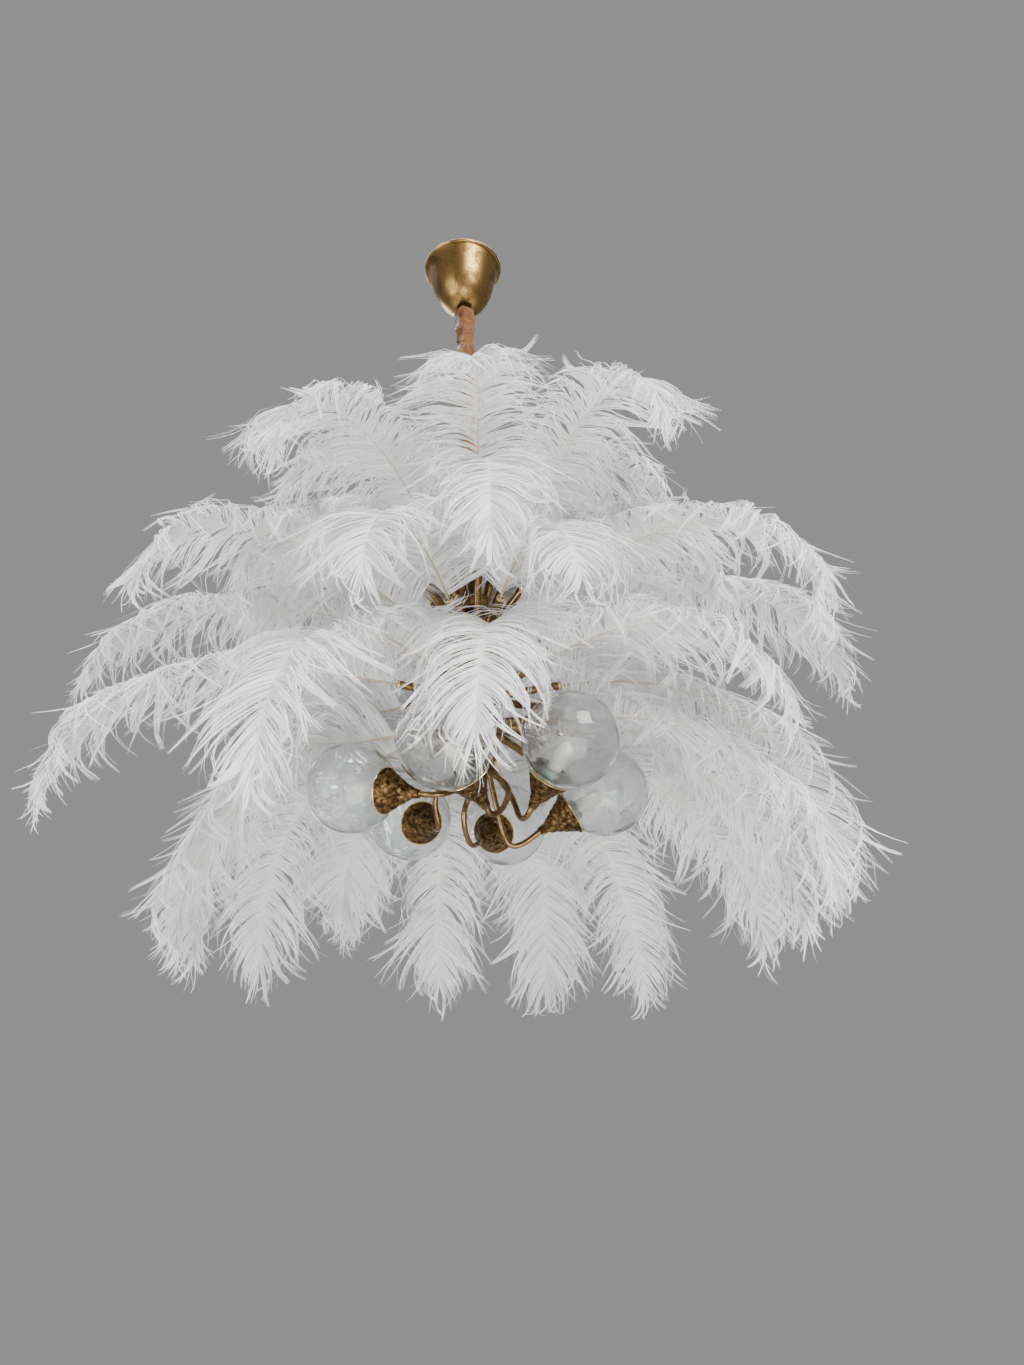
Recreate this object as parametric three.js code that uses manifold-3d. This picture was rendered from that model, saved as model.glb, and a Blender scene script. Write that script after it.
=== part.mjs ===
// Ostrich-feather chandelier: a ceiling fixing, a sleeved suspension rope, a column with rings of
// sockets that hold the plumes, and six swan-neck arms with cast cups, lampholders and glass globes.
// Millimetres, +Z up. The origin is the middle of the face that meets the ceiling, and -Y is the front.
import * as THREE from "three";
import { mergeVertices } from "three/addons/utils/BufferGeometryUtils.js";
import Module from "manifold-3d";

const wasm = await Module();
wasm.setup();

// ---- Driving dimensions ----
const GAP = 0.3; // between pieces that touch
const OVERLAP = 1; // how far the shapes of one piece run into each other before they are joined

// Ceiling bracket
const BRACKET_LENGTH = 100;
const BRACKET_WIDTH = 22;
const BRACKET_THICKNESS = 3;
const BRACKET_SLOT_SPACING = 76;
const BRACKET_SLOT_LENGTH = 14;
const BRACKET_SLOT_WIDTH = 5;
const BOSS_WALL = 4;
const BOSS_DEPTH = 12;

// Canopy and what hangs below it
const STEM_RADIUS = 5;
const STEM_WALL = 2;
const CANOPY_RIM_RADIUS = 60;
const CANOPY_WAIST_SHARE = 0.75; // waist radius as a share of the rim's
const CANOPY_SHOULDER_SHARE = 0.3; // how far down the bell draws in, as a share of its depth
const CANOPY_SHOULDER_FLARE = 2; // how much wider than the waist the bell draws in to
const CANOPY_BELLY_FLARE = 1; // how much wider than the waist its belly pulls
const CANOPY_FOOT_ROUND = 2; // how far above the foot the belly pulls
const CANOPY_DEPTH = 85;
const CANOPY_WALL = 1.6;
const CANOPY_BEAD_RADIUS = 2.6;
const CANOPY_FOOT_WALL = 4; // flat foot around the stem
const CANOPY_STEPS = 7;
const NECK_WALL = 1.7;
const NECK_HEIGHT = 8;
const SHANK_WALL = 1.2;
const SHANK_HEIGHT = 9;
const SHANK_RECESS = 3;
const EYE_RADIUS = 9;
const EYE_WIRE_RADIUS = 2.2;
const ROPE_EYE_RADIUS = 8;
const ROPE_EYE_WIRE_RADIUS = 1.8;
const ROPE_RADIUS = 2.5;
const STUD_WALL = 1.5;
const STUD_LENGTH = 12;
const STUD_SHOULDER = 8; // how far the stud's sleeve runs up the rope
const SLEEVE_ROOM = 0.6; // between the eye and the sleeve
const SLEEVE_WALL = 1.6;
const SWING_ROOM = 3; // gap between the sleeve's gathered top and its length, which swing apart

// Column
const CAP_DROP = 404; // from the ceiling to the top of the column's cap
const CAP_HEIGHT = 16;
const CAP_CLEARANCE = 0.8; // between the cap and the sleeve around it
const SPIGOT_LENGTH = 10;
const COLUMN_RADIUS = 8;
const COLUMN_WALL = 1.5;
const COLUMN_LENGTH = 376;
const HUB_RADIUS = 22;
const HUB_HEIGHT = 26;
const HUB_EDGE = 4;

// Plume sockets
const SOCKET_RADIUS = 5.2;
const SOCKET_BORE_RADIUS = 3.2;
const SOCKET_BORE_DEPTH = 30;
const SOCKET_ROOT = 2; // metal between the column's hole and a tube's root
const COLLAR_HEIGHT = 16;
const COLLAR_WALL = 9;
const COLLAR_MARGIN = 0.5; // how far a collar stands out past the roots of its tubes
// Each ring: its height above the column's foot, its tubes' length, their rise in degrees, how many there
// are, and the directions that they point in, in degrees from the front towards +X.
const RINGS = [
  { above: 186, length: 62, rise: 76, count: 6, first: 8, step: 60 },
  { above: 140, length: 84, rise: 54, count: 9, first: -75, step: 40 },
  { above: 100, length: 94, rise: 30, count: 9, first: -100, step: 40 },
  { above: 52, length: 95, rise: 6, count: 9, first: -74, step: 40 },
  { above: 16, length: 95, rise: -5, count: 9, first: 74, step: 24 },
];

// Plumes
const QUILL_WIDTH = 3.6;
const QUILL_INSERT = 22; // how far the quill goes into its socket
const QUILL_BARE = 30; // bare quill between the socket and the first barbs
const PLUME_LENGTH = 500; // the longest plume, past its socket
const PLUME_WIDTH = 120;
const PLUME_THICKNESS = 3.6;
const PLUME_SAG = 0.3; // how far the edges hang, as a share of the half width
const PLUME_STATIONS = 10;
const PLUME_FILL_RATE = 3; // how soon the plume reaches its full width
const PLUME_TIP_ROUNDING = 0.94; // how much of the width the tip loses
const PLUME_TIP_POWER = 4; // how late along the plume that rounding comes
// Each plume: its ring and socket, its length as a share of the longest, the slope at its tip and how far
// it turns sideways over its length, both in degrees, and how late it curls over (1 is an even bend).
const PLUMES = [
  { ring: 0, socket: 0, share: 0.78, tip: -55, sway: -15, curl: 1 },
  { ring: 1, socket: 1, share: 0.82, tip: -95, sway: 0, curl: 1.8 },
  { ring: 1, socket: 3, share: 0.8, tip: -100, sway: -15, curl: 2.6 },
  { ring: 1, socket: 6, share: 0.84, tip: -90, sway: 0, curl: 1.8 },
  { ring: 2, socket: 0, share: 0.9, tip: -60, sway: 35, curl: 1.4 },
  { ring: 2, socket: 4, share: 0.9, tip: -100, sway: -5, curl: 1.7 },
  { ring: 2, socket: 5, share: 0.98, tip: -85, sway: -10, curl: 1.9 },
  { ring: 2, socket: 7, share: 0.94, tip: -80, sway: 0, curl: 1.7 },
  { ring: 3, socket: 0, share: 0.92, tip: -80, sway: 0, curl: 2 },
  { ring: 3, socket: 1, share: 0.84, tip: -90, sway: 15, curl: 1.2 },
  { ring: 3, socket: 4, share: 1, tip: -100, sway: 45, curl: 1.4 },
  { ring: 3, socket: 6, share: 1, tip: -125, sway: 0, curl: 1.1 },
  { ring: 3, socket: 7, share: 0.96, tip: -80, sway: 0, curl: 1.6 },
  { ring: 3, socket: 8, share: 0.94, tip: -95, sway: 5, curl: 1.1 },
];

// Lamps
const ARM_RADIUS = 3.5;
const ARM_ROOT_FIRST = -45;
const ARM_DROP = 20; // straight tube below the hub
const ARM_INSERT = 6; // how far the arm goes into the cup
const ARM_STEPS = 20;
const ARM_CURVE_SEGMENTS = 4;
const CUP_RIM_RADIUS = 28;
const CUP_NECK_RADIUS = 6;
const CUP_LENGTH = 42;
const CUP_WALL = 1.8;
const CUP_FLARE = 1.25;
const CUP_STEPS = 3;
const CUP_COLLAR_WALL = 1.6;
const CUP_COLLAR_LENGTH = 4;
const CUP_FLOOR = 5;
const HOLDER_WIDTH_SHARE = 0.34; // lampholder radius as a share of the cup's rim radius
const HOLDER_DEPTH_SHARE = 0.6; // how deep it sits, as a share of the cup's length
const HOLDER_TOP = 2;
const HOLDER_WALL = 1.7;
const HOLDER_STEM_RADIUS = 3.2;
const HOLDER_RECESS_DEPTH = 8;
const BULB_CLEARANCE = 0.4; // between the bulb's base and the lampholder
const BULB_FLARE = 1.2; // how far the bulb stands out past its base
const BULB_FLARE_HEIGHT = 3;
const BULB_LENGTH = 50;
const BULB_BASE_LENGTH = 13;
const GLOBE_RADIUS = 55;
const GLOBE_SETTLE = 0.5; // how far a globe's flats settle into its cup's rim
const GLOBE_WALL = 2.4;
const GLOBE_STEPS = 7;
const GLOBE_NECK_CLEARANCE = 0.9; // between the neck and the lampholder
const GLOBE_NECK_WALL = 2.6;
const GLOBE_NECK_LENGTH = 14;
// Each lamp: the direction from the column to the middle of its cup's rim in degrees, how far out that is
// in globe radii, how far it lies below a globe hung under the hub, the direction that it aims in and its
// tilt in degrees, and where its arm bows out below the hub before it turns up into the cup.
const LAMPS = [
  { name: "1", azimuth: -68, out: 2.21, below: 2, aim: -115, tilt: 15, bow: [-27, -58, -63], reach: 24 },
  { name: "2", azimuth: -8, out: 2.13, below: 12, aim: -35, tilt: 38, bow: [33, -50, -63], reach: 16 },
  { name: "3", azimuth: 37, out: 2.35, below: 11, aim: 35, tilt: 36, bow: [34, -18, -57], reach: 22 },
  { name: "4", azimuth: 103, out: 2.04, below: 15, aim: 82, tilt: 28, bow: [20, 22, -73], reach: 42 },
  { name: "5", azimuth: 173, out: 2.02, below: 11, aim: 157, tilt: 27, bow: [-24, 4, -73], reach: 38 },
  { name: "6", azimuth: -139, out: 2.22, below: 0, aim: -157, tilt: 23, bow: [-58, 4, -45], reach: 30 },
];

// Sides of the round shapes
const SIDES = {
  canopy: 24,
  hub: 24,
  turned: 20,
  collar: 16,
  globe: 16,
  cup: 14,
  rope: 12,
  holder: 10,
  tube: 6,
};

// ---- Materials ----
function finish(color, roughness, metalness) {
  return new THREE.MeshStandardMaterial({ color, roughness, metalness });
}

const STEEL = finish(0x9a9c9e, 0.45, 1);
const ANTIQUE_BRASS = finish(0x8a6a38, 0.35, 1);
const CAST_BRASS = finish(0x6b4a24, 0.5, 1);
const CERAMIC = finish(0xe8e4da, 0.5, 0);
const FROSTED_GLASS = finish(0xe9dfc9, 0.6, 0);
const COPPER_SATIN = finish(0xb5662a, 0.55, 0);
const PLUME_WHITE = finish(0xf4f4f2, 0.9, 0);
const CLEAR_GLASS = finish(0xdfe6e4, 0.05, 0);
CLEAR_GLASS.transparent = true;
CLEAR_GLASS.opacity = 0.35;

// ---- Geometry helpers ----
function radians(degrees) {
  return (degrees * Math.PI) / 180;
}

// A horizontal unit vector, from the front (-Y) towards +X.
function heading(azimuth) {
  return new THREE.Vector3(Math.sin(radians(azimuth)), -Math.cos(radians(azimuth)), 0);
}

function pointing(azimuth, rise) {
  const direction = heading(azimuth).multiplyScalar(Math.cos(radians(rise)));
  direction.z = Math.sin(radians(rise));
  return direction;
}

// Positions and triangles with shared vertices merged and collapsed triangles left out.
function cleaned(geometry) {
  const bare = geometry.index ? geometry.toNonIndexed() : geometry.clone();
  bare.deleteAttribute("normal");
  bare.deleteAttribute("uv");
  const merged = mergeVertices(bare, 1e-4);
  const index = merged.index.array;
  const kept = [];
  for (let i = 0; i < index.length; i += 3) {
    const [a, b, c] = [index[i], index[i + 1], index[i + 2]];
    if (a !== b && b !== c && c !== a) kept.push(a, b, c);
  }
  merged.setIndex(kept);
  return merged;
}

function signedVolume(geometry) {
  const position = geometry.attributes.position;
  const index = geometry.index.array;
  const [a, b, c] = [new THREE.Vector3(), new THREE.Vector3(), new THREE.Vector3()];
  let volume = 0;
  for (let i = 0; i < index.length; i += 3) {
    a.fromBufferAttribute(position, index[i]);
    b.fromBufferAttribute(position, index[i + 1]);
    c.fromBufferAttribute(position, index[i + 2]);
    volume += a.dot(b.cross(c)) / 6;
  }
  return volume;
}

// A closed geometry with its faces turned outwards.
function outward(geometry) {
  const solid = cleaned(geometry);
  if (signedVolume(solid) < 0) {
    const flipped = Array.from(solid.index.array);
    for (let i = 0; i < flipped.length; i += 3) {
      [flipped[i + 1], flipped[i + 2]] = [flipped[i + 2], flipped[i + 1]];
    }
    solid.setIndex(flipped);
  }
  return solid;
}

function toManifold(geometry) {
  const solid = outward(geometry);
  return new wasm.Manifold(
    new wasm.Mesh({
      numProp: 3,
      vertProperties: new Float32Array(solid.attributes.position.array),
      triVerts: new Uint32Array(solid.index.array),
    }),
  );
}

function fromManifold(manifold) {
  const mesh = manifold.getMesh();
  const geometry = new THREE.BufferGeometry();
  geometry.setAttribute("position", new THREE.BufferAttribute(mesh.vertProperties, 3));
  geometry.setIndex(new THREE.BufferAttribute(mesh.triVerts, 1));
  return geometry;
}

function joined(...geometries) {
  return fromManifold(geometries.map(toManifold).reduce((all, next) => all.add(next)));
}

function cut(geometry, ...tools) {
  const whole = toManifold(geometry);
  return fromManifold(tools.map(toManifold).reduce((rest, tool) => rest.subtract(tool), whole));
}

function part(name, geometry, material) {
  const mesh = new THREE.Mesh(outward(geometry), material);
  mesh.geometry.computeVertexNormals();
  mesh.name = name;
  return mesh;
}

// A turned solid about Z from its half profile of [radius, height] points.
function turned(profile, segments) {
  const points = profile.map(([radius, height]) => new THREE.Vector2(radius, height));
  return new THREE.LatheGeometry(points, segments).rotateX(Math.PI / 2);
}

// A cylinder along Z between two heights.
function rod(radius, low, high, segments) {
  return new THREE.CylinderGeometry(radius, radius, high - low, segments)
    .rotateX(Math.PI / 2)
    .translate(0, 0, (low + high) / 2);
}

// A tube along Z between two heights, with its profile closed on itself.
function pipe(outer, inner, low, high, segments) {
  return turned([[inner, low], [outer, low], [outer, high], [inner, high], [inner, low]], segments);
}

// Moves a geometry built along +Z so that it starts at a point and runs in a direction.
function aimed(geometry, start, direction) {
  const turn = new THREE.Quaternion().setFromUnitVectors(new THREE.Vector3(0, 0, 1), direction);
  return geometry.applyQuaternion(turn).translate(start.x, start.y, start.z);
}

// ---- Ceiling fixing ----
const stemTop = -BRACKET_THICKNESS - GAP;
const canopyTop = -GAP;
const canopyBottom = canopyTop - CANOPY_DEPTH;
const neckTop = canopyBottom - GAP;
const neckBottom = neckTop - NECK_HEIGHT;
const shankTop = neckBottom - GAP;
const shankBottom = shankTop - SHANK_HEIGHT;
const stemBottom = shankTop - SHANK_RECESS + GAP;
const eyeCentre = shankBottom + OVERLAP - EYE_RADIUS;
const pivotZ = eyeCentre - EYE_RADIUS;
const threadRadius = STEM_RADIUS + GAP;

function mountingBracket() {
  const strip = new THREE.BoxGeometry(BRACKET_LENGTH, BRACKET_WIDTH, BRACKET_THICKNESS)
    .translate(0, 0, -BRACKET_THICKNESS / 2);
  const bossBottom = -BRACKET_THICKNESS - BOSS_DEPTH;
  const boss = rod(STEM_RADIUS + BOSS_WALL, bossBottom, -BRACKET_THICKNESS / 2, SIDES.turned);
  const thread = rod(threadRadius, bossBottom - OVERLAP, -BRACKET_THICKNESS, SIDES.turned);
  const slots = [-1, 1].map((side) =>
    new THREE.BoxGeometry(BRACKET_SLOT_LENGTH, BRACKET_SLOT_WIDTH, 3 * BRACKET_THICKNESS)
      .translate((side * BRACKET_SLOT_SPACING) / 2, 0, 0));
  return part("mounting_bracket", cut(joined(strip, boss), thread, ...slots), STEEL);
}

function threadedStem() {
  const stem = pipe(STEM_RADIUS, STEM_RADIUS - STEM_WALL, stemBottom, stemTop, SIDES.turned);
  return part("threaded_stem", stem, ANTIQUE_BRASS);
}

// The bell's half profile from the rolled rim to the edge of its foot, drawn in by a wall thickness.
function canopyOutline(inset) {
  const rim = CANOPY_RIM_RADIUS - CANOPY_BEAD_RADIUS - inset;
  const waist = CANOPY_WAIST_SHARE * CANOPY_RIM_RADIUS - inset;
  const foot = canopyBottom + inset;
  const curve = new THREE.CubicBezierCurve(
    new THREE.Vector2(rim, canopyTop - CANOPY_BEAD_RADIUS),
    new THREE.Vector2(waist + CANOPY_SHOULDER_FLARE, canopyTop - CANOPY_SHOULDER_SHARE * CANOPY_DEPTH),
    new THREE.Vector2(waist + CANOPY_BELLY_FLARE, foot + CANOPY_FOOT_ROUND),
    new THREE.Vector2(STEM_RADIUS + CANOPY_FOOT_WALL, foot),
  );
  return curve.getPoints(CANOPY_STEPS).map((point) => [point.x, point.y]);
}

function canopy() {
  const outside = canopyOutline(0);
  const inside = canopyOutline(CANOPY_WALL).reverse();
  const shell = turned([
    ...outside,
    [threadRadius, canopyBottom],
    [threadRadius, canopyBottom + CANOPY_WALL],
    ...inside,
    outside[0],
  ], SIDES.canopy);
  const beadCentre = CANOPY_RIM_RADIUS - CANOPY_BEAD_RADIUS;
  const bead = new THREE.TorusGeometry(beadCentre, CANOPY_BEAD_RADIUS, SIDES.tube, SIDES.canopy)
    .translate(0, 0, canopyTop - CANOPY_BEAD_RADIUS);
  return part("canopy", joined(shell, bead), ANTIQUE_BRASS);
}

function canopyNut() {
  const nut = pipe(threadRadius + NECK_WALL, threadRadius, neckBottom, neckTop, SIDES.turned);
  return part("canopy_nut", nut, ANTIQUE_BRASS);
}

// The eye that turns on the stem's foot and carries the rope.
function swivelEye() {
  const shank = rod(threadRadius + SHANK_WALL, shankBottom, shankTop, SIDES.turned);
  const recess = rod(threadRadius, shankTop - SHANK_RECESS, shankTop + OVERLAP, SIDES.turned);
  const ring = new THREE.TorusGeometry(EYE_RADIUS, EYE_WIRE_RADIUS, SIDES.tube, SIDES.collar)
    .rotateX(Math.PI / 2)
    .translate(0, 0, eyeCentre);
  return part("swivel_eye", cut(joined(shank, ring), recess), STEEL);
}

// ---- Suspension ----
const ropeEyeTop = pivotZ + EYE_WIRE_RADIUS + GAP + ROPE_EYE_WIRE_RADIUS;
const ropeEyeCentre = ropeEyeTop - ROPE_EYE_RADIUS;
const studRadius = ROPE_RADIUS + STUD_WALL;
const sleeveInner = EYE_RADIUS + EYE_WIRE_RADIUS + SLEEVE_ROOM;
const sleeveRadius = sleeveInner + SLEEVE_WALL;
const sleeveSplit = pivotZ - OVERLAP;
const capTop = -CAP_DROP;
const capBottom = capTop - CAP_HEIGHT;

function suspensionRope() {
  const eye = new THREE.TorusGeometry(ROPE_EYE_RADIUS, ROPE_EYE_WIRE_RADIUS, SIDES.tube, SIDES.collar)
    .rotateY(Math.PI / 2)
    .translate(0, 0, ropeEyeCentre);
  const rope = rod(ROPE_RADIUS, capTop - OVERLAP, ropeEyeCentre - ROPE_EYE_RADIUS + OVERLAP, SIDES.rope);
  const stud = rod(studRadius, capTop - STUD_LENGTH + GAP, capTop + STUD_SHOULDER, SIDES.rope);
  return part("suspension_rope", joined(eye, rope, stud), STEEL);
}

function sleeveCollar() {
  const collar = pipe(sleeveRadius, sleeveInner, sleeveSplit, neckBottom - GAP, SIDES.turned);
  return part("sleeve_collar", collar, COPPER_SATIN);
}

function fabricSleeve() {
  const sleeve = pipe(sleeveRadius, sleeveInner, capBottom, sleeveSplit - SWING_ROOM, SIDES.turned);
  return part("fabric_sleeve", sleeve, COPPER_SATIN);
}

// ---- Column ----
const columnTop = capBottom - GAP;
const columnBottom = columnTop - COLUMN_LENGTH;
const columnBore = COLUMN_RADIUS - COLUMN_WALL;
const hubTop = columnBottom - GAP;
const hubBottom = hubTop - HUB_HEIGHT;

function columnCap() {
  const head = rod(sleeveInner - CAP_CLEARANCE, capBottom, capTop, SIDES.turned);
  const spigot = rod(columnBore - GAP, columnTop - SPIGOT_LENGTH, capBottom + OVERLAP, SIDES.turned);
  const socket = rod(studRadius + GAP, capTop - STUD_LENGTH, capTop + OVERLAP, SIDES.rope);
  return part("column_cap", cut(joined(head, spigot), socket), ANTIQUE_BRASS);
}

function column() {
  const tube = pipe(COLUMN_RADIUS, columnBore, columnBottom, columnTop, SIDES.turned);
  return part("column", tube, ANTIQUE_BRASS);
}

function armHub() {
  const body = turned([
    [0, hubBottom],
    [HUB_RADIUS - HUB_EDGE, hubBottom],
    [HUB_RADIUS, hubBottom + HUB_EDGE],
    [HUB_RADIUS, hubTop - HUB_EDGE],
    [HUB_RADIUS - HUB_EDGE, hubTop],
    [columnBore - GAP, hubTop],
    [columnBore - GAP, hubTop + SPIGOT_LENGTH],
    [0, hubTop + SPIGOT_LENGTH],
  ], SIDES.hub);
  return part("arm_hub", body, ANTIQUE_BRASS);
}

// ---- Plume rings and plumes ----
function socketAzimuth(ring, socket) {
  return ring.first + ring.step * socket;
}

function ringHeight(ring) {
  return columnBottom + ring.above;
}

// How far from the column's axis a ring's tubes start, clear of the column's hole.
function tubeRoot(ring) {
  return COLUMN_RADIUS + GAP + SOCKET_ROOT + SOCKET_RADIUS * Math.abs(Math.sin(radians(ring.rise)));
}

function collarRadius(ring) {
  const cover = tubeRoot(ring) + SOCKET_RADIUS * Math.abs(Math.sin(radians(ring.rise))) + COLLAR_MARGIN;
  return Math.max(COLUMN_RADIUS + COLLAR_WALL, cover);
}

// A rod in a ring's socket direction, between two distances along the tube.
function socketRod(ring, azimuth, radius, from, to) {
  const start = heading(azimuth).multiplyScalar(tubeRoot(ring)).setZ(ringHeight(ring));
  return aimed(rod(radius, from, to, SIDES.tube), start, pointing(azimuth, ring.rise));
}

function plumeRing(ring, index) {
  const azimuths = Array.from({ length: ring.count }, (_, socket) => socketAzimuth(ring, socket));
  const middle = ringHeight(ring);
  const half = COLLAR_HEIGHT / 2;
  const collar = rod(collarRadius(ring), middle - half, middle + half, SIDES.collar);
  const tubes = azimuths.map((azimuth) => socketRod(ring, azimuth, SOCKET_RADIUS, 0, ring.length));
  const boreStart = ring.length - SOCKET_BORE_DEPTH;
  const bores = azimuths.map((azimuth) =>
    socketRod(ring, azimuth, SOCKET_BORE_RADIUS, boreStart, ring.length + OVERLAP));
  const shaftHole = rod(COLUMN_RADIUS + GAP, middle - COLLAR_HEIGHT, middle + COLLAR_HEIGHT, SIDES.collar);
  return part(`plume_ring_${index + 1}`, cut(joined(collar, ...tubes), shaftHole, ...bores), ANTIQUE_BRASS);
}

// Half the plume's width at a share of its length: a bare quill, a full middle and a round tip.
function plumeHalfWidth(share, length) {
  const bare = QUILL_BARE / length;
  if (share <= bare) return QUILL_WIDTH / 2;
  const along = (share - bare) / (1 - bare);
  const rounded = Math.sqrt(1 - PLUME_TIP_ROUNDING * along ** PLUME_TIP_POWER);
  const fullness = Math.sqrt(Math.min(1, along * PLUME_FILL_RATE)) * rounded;
  return Math.max(QUILL_WIDTH / 2, (PLUME_WIDTH / 2) * fullness);
}

// The plume's spine: a point with its slope and its direction for the quill's root in the socket, the
// socket's mouth, and each step after that along the length.
function plumeSpine(ring, plume) {
  const azimuth = socketAzimuth(ring, plume.socket);
  const along = pointing(azimuth, ring.rise);
  const root = heading(azimuth).multiplyScalar(tubeRoot(ring)).setZ(ringHeight(ring))
    .addScaledVector(along, ring.length - QUILL_INSERT);
  const mouth = root.clone().addScaledVector(along, QUILL_INSERT);
  const spine = [
    { point: root, slope: ring.rise, azimuth },
    { point: mouth, slope: ring.rise, azimuth },
  ];
  const stride = (plume.share * PLUME_LENGTH) / PLUME_STATIONS;
  const slopeAt = (share) => THREE.MathUtils.lerp(ring.rise, plume.tip, share ** plume.curl);
  let point = mouth;
  for (let step = 1; step <= PLUME_STATIONS; step += 1) {
    const middle = (step - 0.5) / PLUME_STATIONS;
    const end = step / PLUME_STATIONS;
    point = point.clone().addScaledVector(pointing(azimuth + plume.sway * middle, slopeAt(middle)), stride);
    spine.push({ point, slope: slopeAt(end), azimuth: azimuth + plume.sway * end });
  }
  return spine;
}

// A thin slab with the plume's outline, bent along its spine, with its edges hanging a little.
function plumeSlab(plume) {
  const spine = plumeSpine(RINGS[plume.ring], plume);
  const stations = spine.length - 1;
  const slab = new THREE.BoxGeometry(stations, 2, 1, stations, 2, 1);
  const position = slab.attributes.position;
  const vertex = new THREE.Vector3();
  for (let i = 0; i < position.count; i += 1) {
    vertex.fromBufferAttribute(position, i);
    const station = Math.round(vertex.x + stations / 2);
    const share = Math.max(0, (station - 1) / (stations - 1));
    const half = plumeHalfWidth(share, plume.share * PLUME_LENGTH);
    const lift = vertex.z * PLUME_THICKNESS - Math.abs(vertex.y) * PLUME_SAG * (half - QUILL_WIDTH / 2);
    const { point, slope, azimuth } = spine[station];
    const placed = point.clone()
      .addScaledVector(heading(azimuth + 90), vertex.y * half)
      .addScaledVector(pointing(azimuth, slope + 90), lift);
    position.setXYZ(i, placed.x, placed.y, placed.z);
  }
  return slab;
}

function plumeNode(plume, index) {
  return part(`plume_${index + 1}`, plumeSlab(plume), PLUME_WHITE);
}

// ---- Lamps ----
// Each lamp's pieces are built along +Z with the middle of the cup's rim at the origin.
const seatRadius = CUP_RIM_RADIUS - CUP_WALL - GAP;
const globeCentre = Math.sqrt(GLOBE_RADIUS ** 2 - seatRadius ** 2) - GLOBE_SETTLE;
const cupBase = -CUP_LENGTH - CUP_COLLAR_LENGTH;
const armBore = ARM_RADIUS + GAP;
const holderRadius = HOLDER_WIDTH_SHARE * CUP_RIM_RADIUS;
const holderRecess = holderRadius - HOLDER_WALL;
const bulbBase = holderRecess - BULB_CLEARANCE;
const neckBore = holderRadius + GLOBE_NECK_CLEARANCE;

function cupRadius(height) {
  const share = (height + CUP_LENGTH) / CUP_LENGTH;
  return CUP_NECK_RADIUS + (CUP_RIM_RADIUS - CUP_NECK_RADIUS) * share ** CUP_FLARE;
}

function cup() {
  const outside = [];
  const inside = [];
  const floor = -CUP_LENGTH + CUP_FLOOR;
  for (let step = 0; step <= CUP_STEPS; step += 1) {
    const outer = THREE.MathUtils.lerp(-CUP_LENGTH, 0, step / CUP_STEPS);
    const inner = THREE.MathUtils.lerp(0, floor, step / CUP_STEPS);
    outside.push([cupRadius(outer), outer]);
    inside.push([cupRadius(inner) - CUP_WALL, inner]);
  }
  return turned([
    [armBore, cupBase],
    [armBore + CUP_COLLAR_WALL, cupBase],
    [armBore + CUP_COLLAR_WALL, -CUP_LENGTH],
    ...outside,
    ...inside,
    [armBore, floor],
    [armBore, cupBase],
  ], SIDES.cup);
}

function lampholder() {
  const bottom = -HOLDER_DEPTH_SHARE * CUP_LENGTH;
  const stemFoot = cupBase + ARM_INSERT + GAP;
  return turned([
    [0, stemFoot],
    [HOLDER_STEM_RADIUS, stemFoot],
    [HOLDER_STEM_RADIUS, bottom],
    [holderRadius, bottom],
    [holderRadius, HOLDER_TOP],
    [holderRecess, HOLDER_TOP],
    [holderRecess, HOLDER_TOP - HOLDER_RECESS_DEPTH],
    [0, HOLDER_TOP - HOLDER_RECESS_DEPTH],
  ], SIDES.holder);
}

function bulb() {
  const bottom = HOLDER_TOP - HOLDER_RECESS_DEPTH + GAP;
  const top = bottom + BULB_LENGTH;
  const radius = bulbBase + BULB_FLARE;
  return turned([
    [0, bottom],
    [bulbBase, bottom],
    [bulbBase, bottom + BULB_BASE_LENGTH],
    [radius, bottom + BULB_BASE_LENGTH + BULB_FLARE_HEIGHT],
    [radius, top - radius],
    [radius * Math.SQRT1_2, top - radius * (1 - Math.SQRT1_2)],
    [0, top],
  ], SIDES.holder);
}

// A ball's half profile between two angles from its lowest point.
function ballOutline(radius, from, to) {
  return Array.from({ length: GLOBE_STEPS + 1 }, (_, step) => {
    const angle = THREE.MathUtils.lerp(from, to, step / GLOBE_STEPS);
    return [Math.abs(radius * Math.sin(angle)), globeCentre - radius * Math.cos(angle)];
  });
}

// A hollow ball whose mouth turns in as a thick neck that slips over the lampholder.
function globe() {
  const inner = GLOBE_RADIUS - GLOBE_WALL;
  const neck = neckBore + GLOBE_NECK_WALL;
  const mouth = Math.asin(neck / GLOBE_RADIUS);
  const outside = ballOutline(GLOBE_RADIUS, mouth, Math.PI);
  const inside = ballOutline(inner, Math.PI, Math.asin(neck / inner));
  const wall = turned([...outside, ...inside, outside[0]], SIDES.globe);
  const [, mouthHeight] = outside[0];
  const tube = pipe(neck + GAP, neckBore, mouthHeight, mouthHeight + GLOBE_NECK_LENGTH, SIDES.globe);
  return joined(wall, tube);
}

function lampRim(lamp) {
  return heading(lamp.azimuth).multiplyScalar(lamp.out * GLOBE_RADIUS)
    .setZ(hubBottom - GLOBE_RADIUS - lamp.below);
}

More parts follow.
